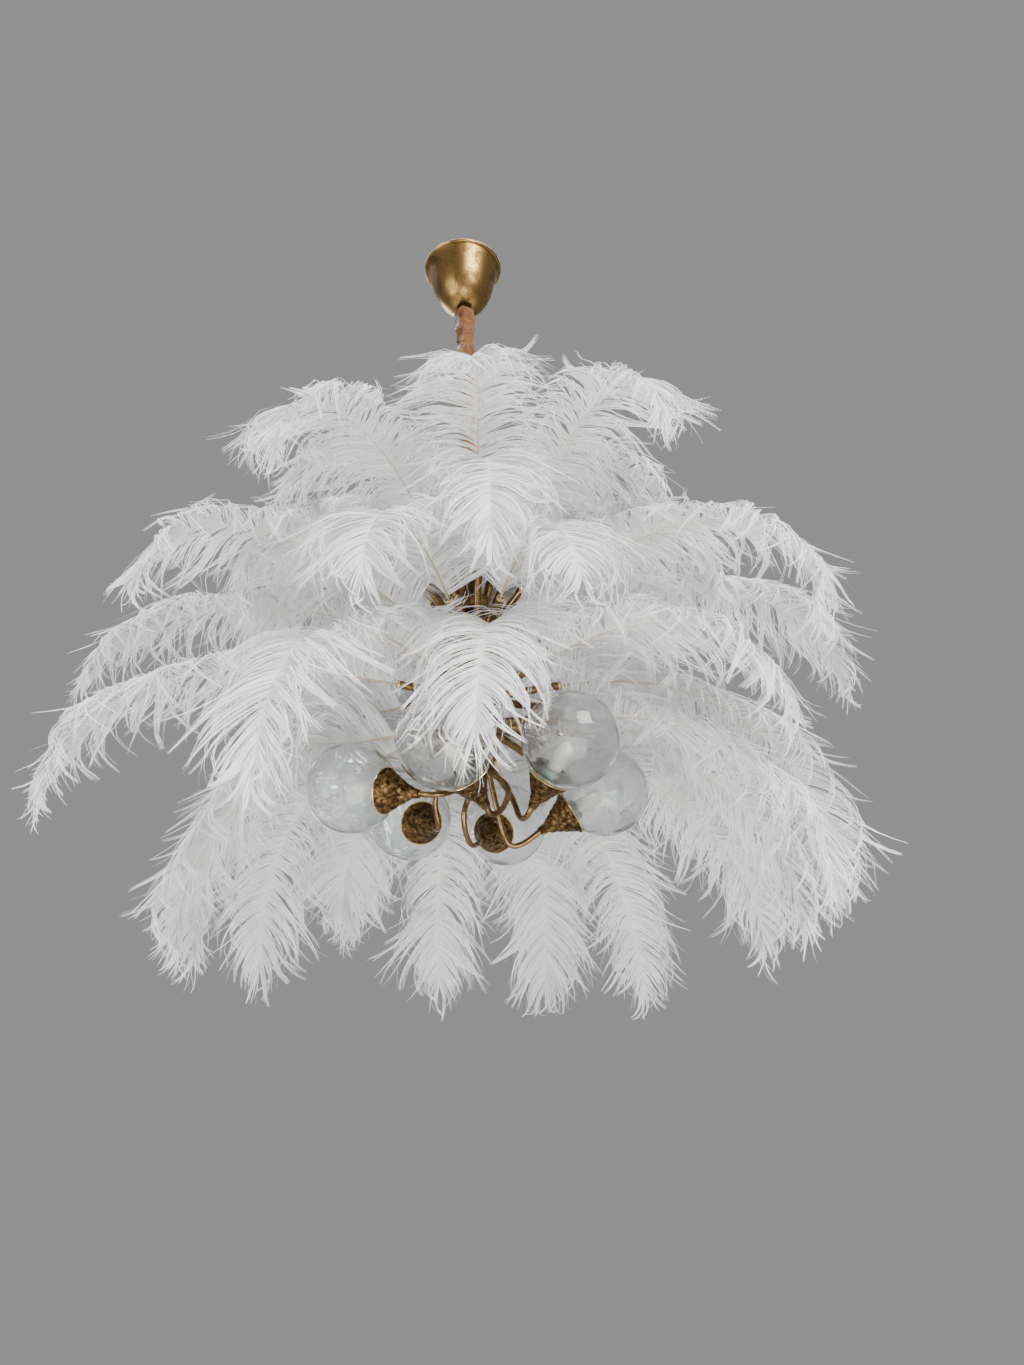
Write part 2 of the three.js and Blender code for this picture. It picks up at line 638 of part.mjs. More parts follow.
function lampGroup(lamp) {
  const group = new THREE.Group();
  group.position.copy(lampRim(lamp));
  group.quaternion.setFromUnitVectors(new THREE.Vector3(0, 0, 1), pointing(lamp.aim, lamp.tilt));
  group.add(part(`cup_${lamp.name}`, cup(), CAST_BRASS));
  group.add(part(`lampholder_${lamp.name}`, lampholder(), CERAMIC));
  group.add(part(`bulb_${lamp.name}`, bulb(), FROSTED_GLASS));
  group.add(part(`globe_${lamp.name}`, globe(), CLEAR_GLASS));
  return group;
}

// A swan-neck tube: straight down from the hub, out to its bow, then up into the cup's collar.
function arm(lamp, index) {
  const axis = pointing(lamp.aim, lamp.tilt);
  const collar = lampRim(lamp).addScaledVector(axis, cupBase);
  const [bowX, bowY, bowZ] = lamp.bow;
  const rootAzimuth = ARM_ROOT_FIRST + (360 / LAMPS.length) * index;
  const root = heading(rootAzimuth).multiplyScalar(HUB_RADIUS - HUB_EDGE - ARM_RADIUS).setZ(hubBottom - GAP);
  const path = new THREE.CatmullRomCurve3([
    root,
    root.clone().setZ(root.z - ARM_DROP),
    new THREE.Vector3(bowX, bowY, hubBottom + bowZ),
    collar.clone().addScaledVector(axis, -lamp.reach),
    collar,
    collar.clone().addScaledVector(axis, ARM_INSERT),
  ], false, "centripetal");
  const section = new THREE.Shape().absarc(0, 0, ARM_RADIUS, 0, 2 * Math.PI);
  const sweep = { steps: ARM_STEPS, curveSegments: ARM_CURVE_SEGMENTS, extrudePath: path };
  const tube = new THREE.ExtrudeGeometry(section, sweep);
  return part(`arm_${lamp.name}`, tube, ANTIQUE_BRASS);
}

// ---- The whole chandelier ----
const chandelier = new THREE.Group();
chandelier.add(mountingBracket(), threadedStem(), canopy(), canopyNut());
chandelier.add(swivelEye(), sleeveCollar(), fabricSleeve(), suspensionRope());
chandelier.add(columnCap(), column(), armHub());
chandelier.add(...RINGS.map(plumeRing));
chandelier.add(...PLUMES.map(plumeNode));
chandelier.add(...LAMPS.map(arm), ...LAMPS.map(lampGroup));

export default chandelier;
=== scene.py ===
"""Looks of a hanging feather chandelier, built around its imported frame.

Lengths are metres in the frame's axes: +Z up, -Y the front, +X the right-hand side seen from the front.
An azimuth is a direction in degrees from the front towards +X, and a slope is in degrees above level.
"""

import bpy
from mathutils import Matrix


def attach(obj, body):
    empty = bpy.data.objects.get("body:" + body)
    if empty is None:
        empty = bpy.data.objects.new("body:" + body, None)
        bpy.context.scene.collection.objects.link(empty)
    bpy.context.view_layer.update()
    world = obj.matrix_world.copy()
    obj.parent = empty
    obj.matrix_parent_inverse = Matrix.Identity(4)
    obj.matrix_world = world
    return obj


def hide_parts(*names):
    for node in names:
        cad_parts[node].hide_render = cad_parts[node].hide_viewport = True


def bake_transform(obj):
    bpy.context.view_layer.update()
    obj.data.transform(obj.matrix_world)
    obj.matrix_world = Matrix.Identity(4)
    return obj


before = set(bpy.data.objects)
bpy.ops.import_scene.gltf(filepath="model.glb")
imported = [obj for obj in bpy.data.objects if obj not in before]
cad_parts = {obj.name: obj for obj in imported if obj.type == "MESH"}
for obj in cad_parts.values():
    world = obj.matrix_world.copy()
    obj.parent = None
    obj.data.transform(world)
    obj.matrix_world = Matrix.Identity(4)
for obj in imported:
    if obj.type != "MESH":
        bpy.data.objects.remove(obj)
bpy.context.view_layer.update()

import logging
import math
from collections.abc import Callable, Sequence
from dataclasses import dataclass, field
from enum import Enum
from typing import Any

import bpy
import numpy as np
from mathutils import Matrix, Vector

LOG = logging.getLogger("chandelier")
MM = 0.001
DOWN = np.array([0.0, 0.0, -1.0])
BAKE_LAYER = "OFBake"
BARB_MIDDLE = 0.485  # the V of a barb's root, with one side's barbs on either side of it
BARB_STRIP = (0.01, 0.47)  # how far from that V a barb starts, and how far it then runs
QUILL_STRIP = (0.975, 0.995)  # the V of the quill's two edges
SHARE_STRIP = (0.01, 0.98)  # the U of the quill's foot, and how far it then runs
END_HELD = 12 * MM  # the length at each end of a path that easing leaves as it is
WAVE_PERIOD = 0.314  # the length of a band of a wave texture at a scale of one


# ---- Directions ----
def heading(azimuth: np.ndarray | float) -> np.ndarray:
    """Gives level unit vectors.

    Args:
        azimuth: One direction or an array of them, in degrees.

    Returns:
        An array with a last axis of three.
    """
    turn = np.radians(azimuth)
    return np.stack([np.sin(turn), -np.cos(turn), np.zeros_like(turn)], axis=-1)


def pointing(azimuth: np.ndarray | float, slope: np.ndarray | float) -> np.ndarray:
    """Gives unit vectors that rise or fall.

    Args:
        azimuth: Directions in degrees.
        slope: Slopes in degrees above level.

    Returns:
        An array with a last axis of three.
    """
    rise = np.radians(slope)
    level = heading(azimuth) * np.cos(rise)[..., None]
    level[..., 2] = np.sin(rise)
    return level


def unit(vectors: np.ndarray) -> np.ndarray:
    """Scales each vector of an array to a length of one."""
    return vectors / np.maximum(np.linalg.norm(vectors, axis=-1, keepdims=True), 1e-9)


def eased(share: np.ndarray, start: float, end: float) -> np.ndarray:
    """Rises smoothly from 0 at start to 1 at end."""
    x = np.clip((share - start) / (end - start), 0.0, 1.0)
    return x * x * (3.0 - 2.0 * x)


def wrapped(radius: np.ndarray, angle: np.ndarray, height: np.ndarray) -> np.ndarray:
    """Wraps radii and heights round +Z.

    Args:
        radius: The distance from the axis.
        angle: The angle round it, in radians.
        height: The height along it.

    Returns:
        The points, in the shape that the three give together.
    """
    return np.stack(np.broadcast_arrays(radius * np.cos(angle), radius * np.sin(angle), height), -1)


# ---- Meshes ----
class Shape:
    """Points and faces gathered into one mesh."""

    def __init__(self) -> None:
        """Starts an empty shape."""
        self.points: list[np.ndarray] = []
        self.faces: list[np.ndarray] = []
        self.slots: list[np.ndarray] = []
        self.uvs: list[np.ndarray] = []
        self.count = 0

    def add(self, points: np.ndarray, faces: np.ndarray, uv: np.ndarray | None = None, slot: int = 0) -> None:
        """Adds faces that all have the same number of corners.

        Args:
            points: The points, one to a row.
            faces: The corners of each face, counted from these points.
            uv: A pair for each point, or None for pairs of zero.
            slot: Which of the object's materials the faces take.
        """
        self.points.append(np.asarray(points, float).reshape(-1, 3))
        self.faces.append(np.asarray(faces, np.int64) + self.count)
        self.slots.append(np.full(len(faces), slot))
        self.uvs.append(np.zeros((len(points), 2)) if uv is None else uv)
        self.count += len(points)

    def loft(
        self,
        rows: np.ndarray,
        closed: bool = False,
        capped: bool = True,
        slot: int = 0,
        uv: np.ndarray | None = None,
    ) -> None:
        """Adds a skin over rows of points that each go round a loop.

        Args:
            rows: The points as rows, columns and three coordinates.
            closed: Whether the last row joins the first, as on a ring.
            capped: Whether each end is closed with a fan round its middle.
            slot: Which of the object's materials the faces take.
            uv: A pair for each point in the same rows and columns, or None.
        """
        count, around = rows.shape[:2]
        index = np.arange(count * around).reshape(count, around)
        upper = np.roll(index, -1, axis=0) if closed else index[1:]
        lower = index if closed else index[:-1]
        quads = np.stack([lower, np.roll(lower, -1, 1), np.roll(upper, -1, 1), upper], -1).reshape(-1, 4)
        flat_uv = None if uv is None else uv.reshape(-1, 2)
        start = self.count
        self.add(rows.reshape(-1, 3), quads, flat_uv, slot)
        if closed or not capped:
            return
        for row, turned_over in ((index[0], True), (index[-1], False)):
            ring = row[::-1] if turned_over else row
            fan = np.stack([ring, np.roll(ring, -1), np.full(around, self.count - start)], -1)
            self.points.append(rows.reshape(-1, 3)[row].mean(0)[None])
            self.uvs.append(np.zeros((1, 2)))
            self.faces.append(fan + start)
            self.slots.append(np.full(around, slot))
            self.count += 1

    def turned(
        self,
        profile: Sequence[tuple[float, float]],
        sides: int,
        closed: bool = False,
        slot: int = 0,
        place: Callable[[np.ndarray], np.ndarray] | None = None,
    ) -> None:
        """Adds a solid turned about +Z.

        Args:
            profile: Pairs of radius and height, from the lowest end anticlockwise.
            sides: How many flat sides go round it.
            closed: Whether the profile is a loop, as on a ring or a tube.
            slot: Which of the object's materials the faces take.
            place: What moves the points to where they belong, or None.
        """
        angle = np.linspace(0.0, 2.0 * math.pi, sides, endpoint=False)
        outline = np.asarray(profile, float)
        rows = wrapped(outline[:, :1], angle, outline[:, 1:])
        self.loft(rows if place is None else place(rows), closed, True, slot)

    def build(
        self, name: str, materials: Sequence[bpy.types.Material], crease: float = 35.0
    ) -> bpy.types.Object:
        """Makes the mesh object.

        Args:
            name: The object's name.
            materials: Its materials, in the order of the slots.
            crease: The angle in degrees above which an edge stays sharp.

        Returns:
            The new object, in the scene.
        """
        mesh = bpy.data.meshes.new(name)
        points = np.concatenate(self.points)
        corners = np.concatenate([faces.ravel() for faces in self.faces])
        totals = np.concatenate([np.full(len(faces), faces.shape[1]) for faces in self.faces])
        mesh.vertices.add(len(points))
        mesh.vertices.foreach_set("co", points.astype(np.float32).ravel())
        mesh.loops.add(len(corners))
        mesh.loops.foreach_set("vertex_index", corners.astype(np.int32))
        mesh.polygons.add(len(totals))
        mesh.polygons.foreach_set("loop_start", (np.cumsum(totals) - totals).astype(np.int32))
        mesh.polygons.foreach_set("material_index", np.concatenate(self.slots).astype(np.int32))
        if any(np.any(uv) for uv in self.uvs):
            layer = mesh.uv_layers.new(name=BAKE_LAYER)
            layer.uv.foreach_set("vector", np.concatenate(self.uvs)[corners].astype(np.float32).ravel())
        mesh.update(calc_edges=True)
        mesh.validate()
        mesh.shade_smooth()
        mesh.set_sharp_from_angle(angle=math.radians(crease))
        for material in materials:
            mesh.materials.append(material)
        piece = bpy.data.objects.new(name, mesh)
        bpy.context.scene.collection.objects.link(piece)
        return piece


def placed_at(origin: Sequence[float], axis: Sequence[float]) -> Callable[[np.ndarray], np.ndarray]:
    """Makes a function that moves points built along +Z to an origin and an axis.

    Args:
        origin: Where the points' own origin goes.
        axis: Where their +Z points.

    Returns:
        A function from points to moved points.
    """
    turn = np.array(Vector((0, 0, 1)).rotation_difference(Vector(axis)).to_matrix())
    return lambda points: points @ turn.T + np.asarray(origin, float)


def centripetal(points: np.ndarray, per_span: int) -> np.ndarray:
    """Draws a centripetal Catmull-Rom curve through points.

    Args:
        points: The points that it goes through.
        per_span: How many steps it takes between two of them.

    Returns:
        The curve's points.
    """
    knots = np.vstack([2 * points[0] - points[1], points, 2 * points[-1] - points[-2]])
    steps = np.linspace(0.0, 1.0, per_span, endpoint=False)[:, None]
    curve = []
    for before, start, end, after in zip(knots, knots[1:], knots[2:], knots[3:]):
        first, middle, last = (
            math.sqrt(np.linalg.norm(b - a)) for a, b in ((before, start), (start, end), (end, after))
        )
        leave = middle * ((start - before) / first - (end - before) / (first + middle)) + (end - start)
        arrive = middle * ((after - end) / last - (after - start) / (middle + last)) + (end - start)
        curve.append(
            start
            + steps * leave
            + steps**2 * (3 * (end - start) - 2 * leave - arrive)
            + steps**3 * (2 * (start - end) + leave + arrive)
        )
    return np.vstack([*curve, points[-1:]])


def relaxed(path: np.ndarray, step: float, rounds: int) -> np.ndarray:
    """Evens out a path's points and eases its tight bends, while its ends stay.

    Args:
        path: The points.
        step: How far apart the new points are.
        rounds: How many times each point moves towards its neighbours' middle.

    Returns:
        The new points.
    """
    gone = np.concatenate([[0.0], np.cumsum(np.linalg.norm(np.diff(path, axis=0), axis=1))])
    places = np.linspace(0.0, gone[-1], int(gone[-1] / step) + 2)
    points = np.stack([np.interp(places, gone, path[:, i]) for i in range(3)], -1)
    fixed = int(END_HELD / step)
    order = np.arange(len(points))
    hold = np.clip(np.minimum(order, len(points) - 1 - order) / fixed - 1, 0, 1)
    for _ in range(rounds):
        points[1:-1] += 0.5 * hold[1:-1, None] * ((points[:-2] + points[2:]) / 2 - points[1:-1])
    return points


def swept(path: np.ndarray, radii: np.ndarray, sides: int) -> np.ndarray:
    """Gives the rows of a round tube along a path, without twist.

    Args:
        path: The points along its middle.
        radii: The radius at each point.
        sides: How many flat sides go round it.

    Returns:
        Rows of points for Shape.loft.
    """
    along = unit(np.gradient(path, axis=0))
    across = np.cross(along[0], [0.3, 0.5, 0.8])
    angle = np.linspace(0.0, 2.0 * math.pi, sides, endpoint=False)[:, None]
    rows = []
    for point, forward, radius in zip(path, along, radii):
        across = unit(across - forward * (across @ forward))
        rows.append(point + radius * (np.cos(angle) * across + np.sin(angle) * np.cross(forward, across)))
    return np.array(rows)


def waves(points: np.ndarray, scale: float, seed: int, count: int = 24) -> np.ndarray:
    """Gives smooth noise of about -1 to 1, as a sum of plane waves.

    Args:
        points: Where it is read.
        scale: The usual length of a wave, in metres.
        seed: Which pattern it is.
        count: How many waves are added.

    Returns:
        One value for each point.
    """
    rng = np.random.default_rng(seed)
    turns = unit(rng.normal(size=(count, 3))) * rng.uniform(0.6, 1.5, (count, 1)) * 2 * math.pi / scale
    phases = rng.uniform(0, 2 * math.pi, count)
    return np.sin(points @ turns.T + phases).sum(-1) / math.sqrt(count)


# ---- Shader graphs ----
class Wire:
    """One value that runs between shader nodes."""

    def __init__(self, graph: "Graph", socket: bpy.types.NodeSocket) -> None:
        """Wraps an output socket of a graph."""
        self.graph = graph
        self.socket = socket

    def _math(self, operation: str, *values: "Wire | float") -> "Wire":
        """Adds a Math node on these values."""
        return self.graph.node("ShaderNodeMath", {"operation": operation}, dict(enumerate(values)))

    def __add__(self, other: "Wire | float") -> "Wire":
        """Adds another value."""
        return self._math("ADD", self, other)

    __radd__ = __add__

    def __sub__(self, other: "Wire | float") -> "Wire":
        """Takes another value away."""
        return self._math("SUBTRACT", self, other)

    def __rsub__(self, other: "Wire | float") -> "Wire":
        """Takes this value away from another."""
        return self._math("SUBTRACT", other, self)

    def __mul__(self, other: "Wire | float") -> "Wire":
        """Multiplies by another value."""
        return self._math("MULTIPLY", self, other)

    __rmul__ = __mul__

    def spread(self, low: float, high: float) -> "Wire":
        """Maps low to 0 and high to 1, and stops there."""
        return self.graph.node(
            "ShaderNodeMapRange",
            {"interpolation_type": "SMOOTHSTEP"},
            {"Value": self, "From Min": low, "From Max": high},
        )


class Graph:
    """The node tree of one material."""

    def __init__(self, name: str) -> None:
        """Makes a material with an empty node tree and an output.

        Args:
            name: The material's name.
        """
        self.material = bpy.data.materials.new(name)
        self.material.use_nodes = True
        self.tree = self.material.node_tree
        self.tree.nodes.clear()
        self.output = self.tree.nodes.new("ShaderNodeOutputMaterial")

    def node(
        self,
        kind: str,
        settings: dict[str, Any] | None = None,
        sockets: dict[str | int, Any] | None = None,
        output: str | int = 0,
    ) -> Wire:
        """Adds a node.

        Args:
            kind: Its type.
            settings: Its properties, set first.
            sockets: A value or a wire for each of its inputs that isn't left as it is.
            output: Which of its outputs is wanted.

        Returns:
            The wanted output.
        """
        made = self.tree.nodes.new(kind)
        for name, value in (settings or {}).items():
            setattr(made, name, value)
        for name, value in (sockets or {}).items():
            if isinstance(value, Wire):
                self.tree.links.new(value.socket, made.inputs[name])
            else:
                made.inputs[name].default_value = value
        return Wire(self, made.outputs[output])

    def place(self) -> Wire:
        """Gives the place on the object, in its own coordinates."""
        return self.node("ShaderNodeTexCoord", output="Object")

    def stretched(self, vector: Wire, factors: tuple[float, float, float]) -> Wire:
        """Scales a vector along each axis."""
        return self.node("ShaderNodeVectorMath", {"operation": "MULTIPLY"}, {0: vector, 1: factors})

    def noise(self, vector: Wire, scale: float, detail: float = 3.0, rough: float = 0.5) -> Wire:
        """Gives cloudy noise from 0 to 1.

        Args:
            vector: Where it is read.
            scale: How many clouds there are to a metre.
            detail: How many finer layers it has.
            rough: How strong the finer layers are.

        Returns:
            The noise's value.
        """
        sockets = {"Vector": vector, "Scale": scale, "Detail": detail, "Roughness": rough}
        return self.node("ShaderNodeTexNoise", None, sockets)

    def cells(self, vector: Wire, scale: float, feature: str = "F1") -> Wire:
        """Gives the distance to the middle of the nearest cell."""
        return self.node("ShaderNodeTexVoronoi", {"feature": feature}, {"Vector": vector, "Scale": scale})

    def blended(self, share: Wire, first: Any, second: Any) -> Wire:
        """Mixes two colours.

        Args:
            share: How much of the second there is.
            first: A colour of three numbers, or a wire.
            second: A colour of three numbers, or a wire.

        Returns:
            The mixed colour.
        """
        made = self.tree.nodes.new("ShaderNodeMix")
        made.data_type = "RGBA"
        self.tree.links.new(share.socket, made.inputs["Factor"])
        for socket, value in ((made.inputs[6], first), (made.inputs[7], second)):
            if isinstance(value, Wire):
                self.tree.links.new(value.socket, socket)
            else:
                socket.default_value = (*value, 1.0)
        return Wire(self, made.outputs[2])

    def bump(self, height: Wire, distance: float, strength: float = 1.0) -> Wire:
        """Turns a height into a normal.

        Args:
            height: The height from 0 to 1.
            distance: How high 1 is, in metres.
            strength: How much of it shows.

        Returns:
            The normal.
        """
        sockets = {"Height": height, "Distance": distance, "Strength": strength}
        return self.node("ShaderNodeBump", None, sockets)

    def finished(self, sockets: dict[str | int, Any]) -> bpy.types.Material:
        """Adds the Principled shader and ends the graph.

        Args:
            sockets: The shader's values and wires. Colours of three numbers are made solid.

        Returns:
            The material.
        """
        solid = {
            name: (*value, 1.0) if isinstance(value, tuple) and len(value) == 3 else value
            for name, value in sockets.items()
        }
        shader = self.node("ShaderNodeBsdfPrincipled", None, solid)
        self.tree.links.new(shader.socket, self.output.inputs["Surface"])
        return self.material


# ---- Finishes ----
Colour = tuple[float, float, float]


@dataclass(frozen=True)
class AgedBrass:
    """Brass that has been brushed, darkened and rubbed bright again."""

    name: str
    bright: Colour = (0.62, 0.42, 0.17)
    dark: Colour = (0.17, 0.105, 0.045)
    roughness: float = 0.3
    darkness: float = 0.5
    brushed: tuple[float, float, float] = (1.0, 1.0, 9.0)

    def material(self) -> bpy.types.Material:
        """Makes the material: mottled patina, soft brush lines and uneven gloss."""
        g = Graph(self.name)
        place = g.place()
        clouds = g.noise(place, 38.0, 5.0, 0.6)
        specks = g.noise(place, 210.0, 4.0, 0.65)
        lines = g.noise(g.stretched(place, self.brushed), 420.0, 3.0, 0.6)
        patina = (clouds * 0.62 + specks * 0.38).spread(0.42 + 0.2 * self.darkness, 0.38)
        colour = g.blended(patina * 0.85, self.bright, self.dark)
        colour = g.blended(lines.spread(0.35, 0.75) * 0.25, colour, self.dark)
        return g.finished(
            {
                "Base Color": colour,
                "Metallic": 1.0,
                "Roughness": self.roughness + patina * 0.2 + lines * 0.1 - 0.05,
                "Normal": g.bump(lines * 0.6 + specks * 0.4, 0.00012, 0.7),
            }
        )


@dataclass(frozen=True)
class CastBronze:
    """Rough cast metal, with painted shade in its pits so that its high spots read brighter."""

    name: str
    high: Colour = (0.2, 0.115, 0.042)
    low: Colour = (0.04, 0.023, 0.01)
    roughness: float = 0.34

    def material(self) -> bpy.types.Material:
        """Makes the material: pits at two sizes, with painted shade in them."""
        g = Graph(self.name)
        place = g.place()
        lumps = g.noise(place, 150.0, 3.0, 0.6)
        ridges = 1 - g.cells(place, 240.0, "SMOOTH_F1")
        grain = g.noise(place, 900.0, 4.0, 0.65)
        height = (lumps * 0.7 + ridges * 0.3).spread(0.38, 0.68)
        # Painted shade: the colour runs to the low end where the bump height is low, in the pits, while the
        # fine grain adds uneven tone
        colour = g.blended((height * 0.7 + grain * 0.4).spread(0.15, 1.0), self.low, self.high)
        return g.finished(
            {
                "Base Color": colour,
                "Metallic": 1.0,
                "Roughness": self.roughness + 0.28 * (1 - height) + grain * 0.1 - 0.05,
                "Normal": g.bump(height * 0.8 + grain * 0.2, 0.0012, 0.9),
            }
        )


@dataclass(frozen=True)
class Steel:
    """Plain plated steel."""

    name: str
    colour: Colour = (0.42, 0.42, 0.43)

    def material(self) -> bpy.types.Material:
        """Makes the material: a dull plated face with fine scratches."""
        g = Graph(self.name)
        place = g.place()
        scratches = g.noise(g.stretched(place, (1.0, 6.0, 1.0)), 500.0, 4.0, 0.6)
        dull = g.noise(place, 60.0, 4.0)
        return g.finished(
            {
                "Base Color": g.blended(dull.spread(0.3, 0.7) * 0.4, self.colour, (0.22, 0.22, 0.23)),
                "Metallic": 1.0,
                "Roughness": 0.32 + scratches * 0.25,
                "Normal": g.bump(scratches, 0.00005, 0.5),
            }
        )


@dataclass(frozen=True)
class Satin:
    """Woven copper satin with a sheen."""

    name: str
    light: Colour = (0.27, 0.095, 0.013)
    deep_tone_and_crease_shade: Colour = (0.06, 0.018, 0.003)
    thread: float = 0.00025

    def material(self) -> bpy.types.Material:
        """Makes the material: fine crosswise threads, crinkles, painted shade in the crinkles' hollows and
        uneven broad tone.
        """
        g = Graph(self.name)
        place = g.place()
        threads = g.node(
            "ShaderNodeTexWave",
            {"wave_type": "BANDS", "bands_direction": "Z"},
            {"Vector": place, "Scale": WAVE_PERIOD / self.thread, "Distortion": 0.6, "Detail": 1.0},
            "Fac",
        )
        crinkle = g.noise(g.stretched(place, (1.0, 1.0, 1.6)), 260.0, 5.0, 0.62)
        broad = g.noise(place, 45.0, 3.0)
        # Painted shade: the colour runs to the deep end where the crinkle bump is low, in its creases, while
        # the broad noise adds uneven tone
        colour = g.blended((crinkle * 0.6 + broad * 0.4).spread(0.34, 0.66), self.deep_tone_and_crease_shade, self.light)
        return g.finished(
            {
                "Base Color": colour,
                "Roughness": 0.3 + crinkle * 0.22,
                "Specular IOR Level": 0.55,
                "Normal": g.bump(crinkle * 0.85 + threads * 0.15, 0.0008, 0.75),
            }
        )


@dataclass(frozen=True)
class Down:
    """The soft barbs of a plume."""

    name: str
    root: Colour = (0.87, 0.865, 0.855)
    tip: Colour = (0.965, 0.965, 0.97)
    shade: Colour = (0.78, 0.785, 0.79)

    def material(self) -> bpy.types.Material:
        """Makes the material: grey streaks of painted shade between strands and clumps, with the barbs
        whitest at their ends.
        """
        g = Graph(self.name)
        strand = g.node("ShaderNodeUVMap", {"uv_map": BAKE_LAYER})
        apart = g.node("ShaderNodeSeparateXYZ", None, {"Vector": strand}, "Y")
        outwards = g.node("ShaderNodeMath", {"operation": "ABSOLUTE"}, {0: apart * 2.0 - 2 * BARB_MIDDLE})
        streaks = g.noise(g.stretched(strand, (260.0, 5.0, 1.0)), 1.0, 3.0, 0.6)
        clumps = g.noise(g.place(), 55.0, 3.0)
        colour = g.blended(outwards.spread(0.05, 0.6), self.root, self.tip)
        # Painted shade: grey streaks that change from barb to barb and clump to clump stand in for the shade
        # between strands
        colour = g.blended((streaks * 0.6 + clumps * 0.4).spread(0.62, 0.36) * 0.6, colour, self.shade)
        return g.finished(
            {
                "Base Color": colour,
                "Roughness": 0.75 + streaks * 0.2,
                "Sheen Weight": 0.35,
                "Sheen Roughness": 0.6,
                "Specular IOR Level": 0.2,
            }
        )


@dataclass(frozen=True)
class Quill:
    """The shaft of a plume, horny at its foot and white at its tip."""

    name: str
    foot: Colour = (0.55, 0.42, 0.28)
    tip: Colour = (0.86, 0.83, 0.78)

    def material(self) -> bpy.types.Material:
        """Makes the material: tan with fine lengthwise streaks and a low gloss."""
        g = Graph(self.name)
        strand = g.node("ShaderNodeUVMap", {"uv_map": BAKE_LAYER})
        along = g.node("ShaderNodeSeparateXYZ", None, {"Vector": strand}, "X")
        streaks = g.noise(g.place(), 700.0, 3.0)
        colour = g.blended(along.spread(0.0, 0.75), self.foot, self.tip)
        colour = g.blended(streaks.spread(0.45, 0.7) * 0.35, colour, (0.36, 0.26, 0.17))
        return g.finished(
            {
                "Base Color": colour,
                "Roughness": 0.36 + streaks * 0.15,
                "Normal": g.bump(streaks, 0.0001, 0.4),
            }
        )


@dataclass(frozen=True)
class SeededGlass:
    """Blown glass with small bubbles and a slight ripple."""

    name: str
    tint: Colour = (0.93, 0.95, 0.95)
    bubbles: float = 190.0
    ripple: float = 0.0012
    index: float = 1.42

    def material(self) -> bpy.types.Material:
        """Makes the material: clear, with bubbles and ripples in its normal."""
        g = Graph(self.name)
        place = g.place()
        warped = g.node(
            "ShaderNodeVectorMath",
            {"operation": "ADD"},
            {0: place, 1: g.node("ShaderNodeTexNoise", None, {"Vector": place, "Scale": 30.0}, "Color")},
        )
        seed = 1 - g.cells(warped, self.bubbles).spread(0.12, 0.3)
        rare = g.noise(place, 60.0, 1.0).spread(0.36, 0.54)
        swell = g.noise(place, 34.0, 2.0)
        return g.finished(
            {
                "Base Color": self.tint,
                "Roughness": 0.015 + seed * rare * 0.04,
                "Transmission Weight": 1.0,
                "IOR": self.index,
                "Normal": g.bump(seed * rare * 0.5 + swell * 0.9, self.ripple, 0.5),
            }
        )


@dataclass(frozen=True)
class FrostedGlass:
    """The milky envelope of a capsule bulb."""

    name: str
    colour: Colour = (0.86, 0.79, 0.66)

    def material(self) -> bpy.types.Material:
        """Makes the material: etched glass with a little light through it."""
        g = Graph(self.name)
        place = g.place()
        etch = g.noise(place, 1400.0, 3.0)
        cloud = g.noise(place, 90.0, 2.0)
        return g.finished(
            {
                "Base Color": g.blended(cloud.spread(0.3, 0.7), self.colour, (0.93, 0.89, 0.8)),
                "Roughness": 0.42 + etch * 0.2,
                "Subsurface Weight": 0.25,
                "Subsurface Radius": [0.004, 0.003, 0.002],
                "Normal": g.bump(etch, 0.00004, 0.5),
            }
        )


@dataclass(frozen=True)
class Ceramic:
    """Unglazed white lampholder ceramic."""

    name: str
    colour: Colour = (0.78, 0.77, 0.73)

    def material(self) -> bpy.types.Material:
        """Makes the material: fine grain with faint stains."""
        g = Graph(self.name)
        place = g.place()
        grain = g.noise(place, 1100.0, 4.0)
        stain = g.noise(place, 120.0, 4.0)
        return g.finished(
            {
                "Base Color": g.blended(stain.spread(0.45, 0.75) * 0.5, self.colour, (0.6, 0.57, 0.5)),
                "Roughness": 0.5 + grain * 0.25,
                "Normal": g.bump(grain, 0.00008, 0.5),
            }
        )


@dataclass(frozen=True)
class FloorPaint:
    """Plain pale painted floor."""

    name: str
    colour: Colour = (0.62, 0.61, 0.59)

    def material(self) -> bpy.types.Material:
        """Makes the material: matte, with hardly any variation."""
        g = Graph(self.name)
        cloud = g.noise(g.place(), 1.5, 3.0)
        return g.finished(
            {
                "Base Color": g.blended(cloud, self.colour, tuple(0.96 * c for c in self.colour)),
                "Roughness": 0.6,
            }
        )


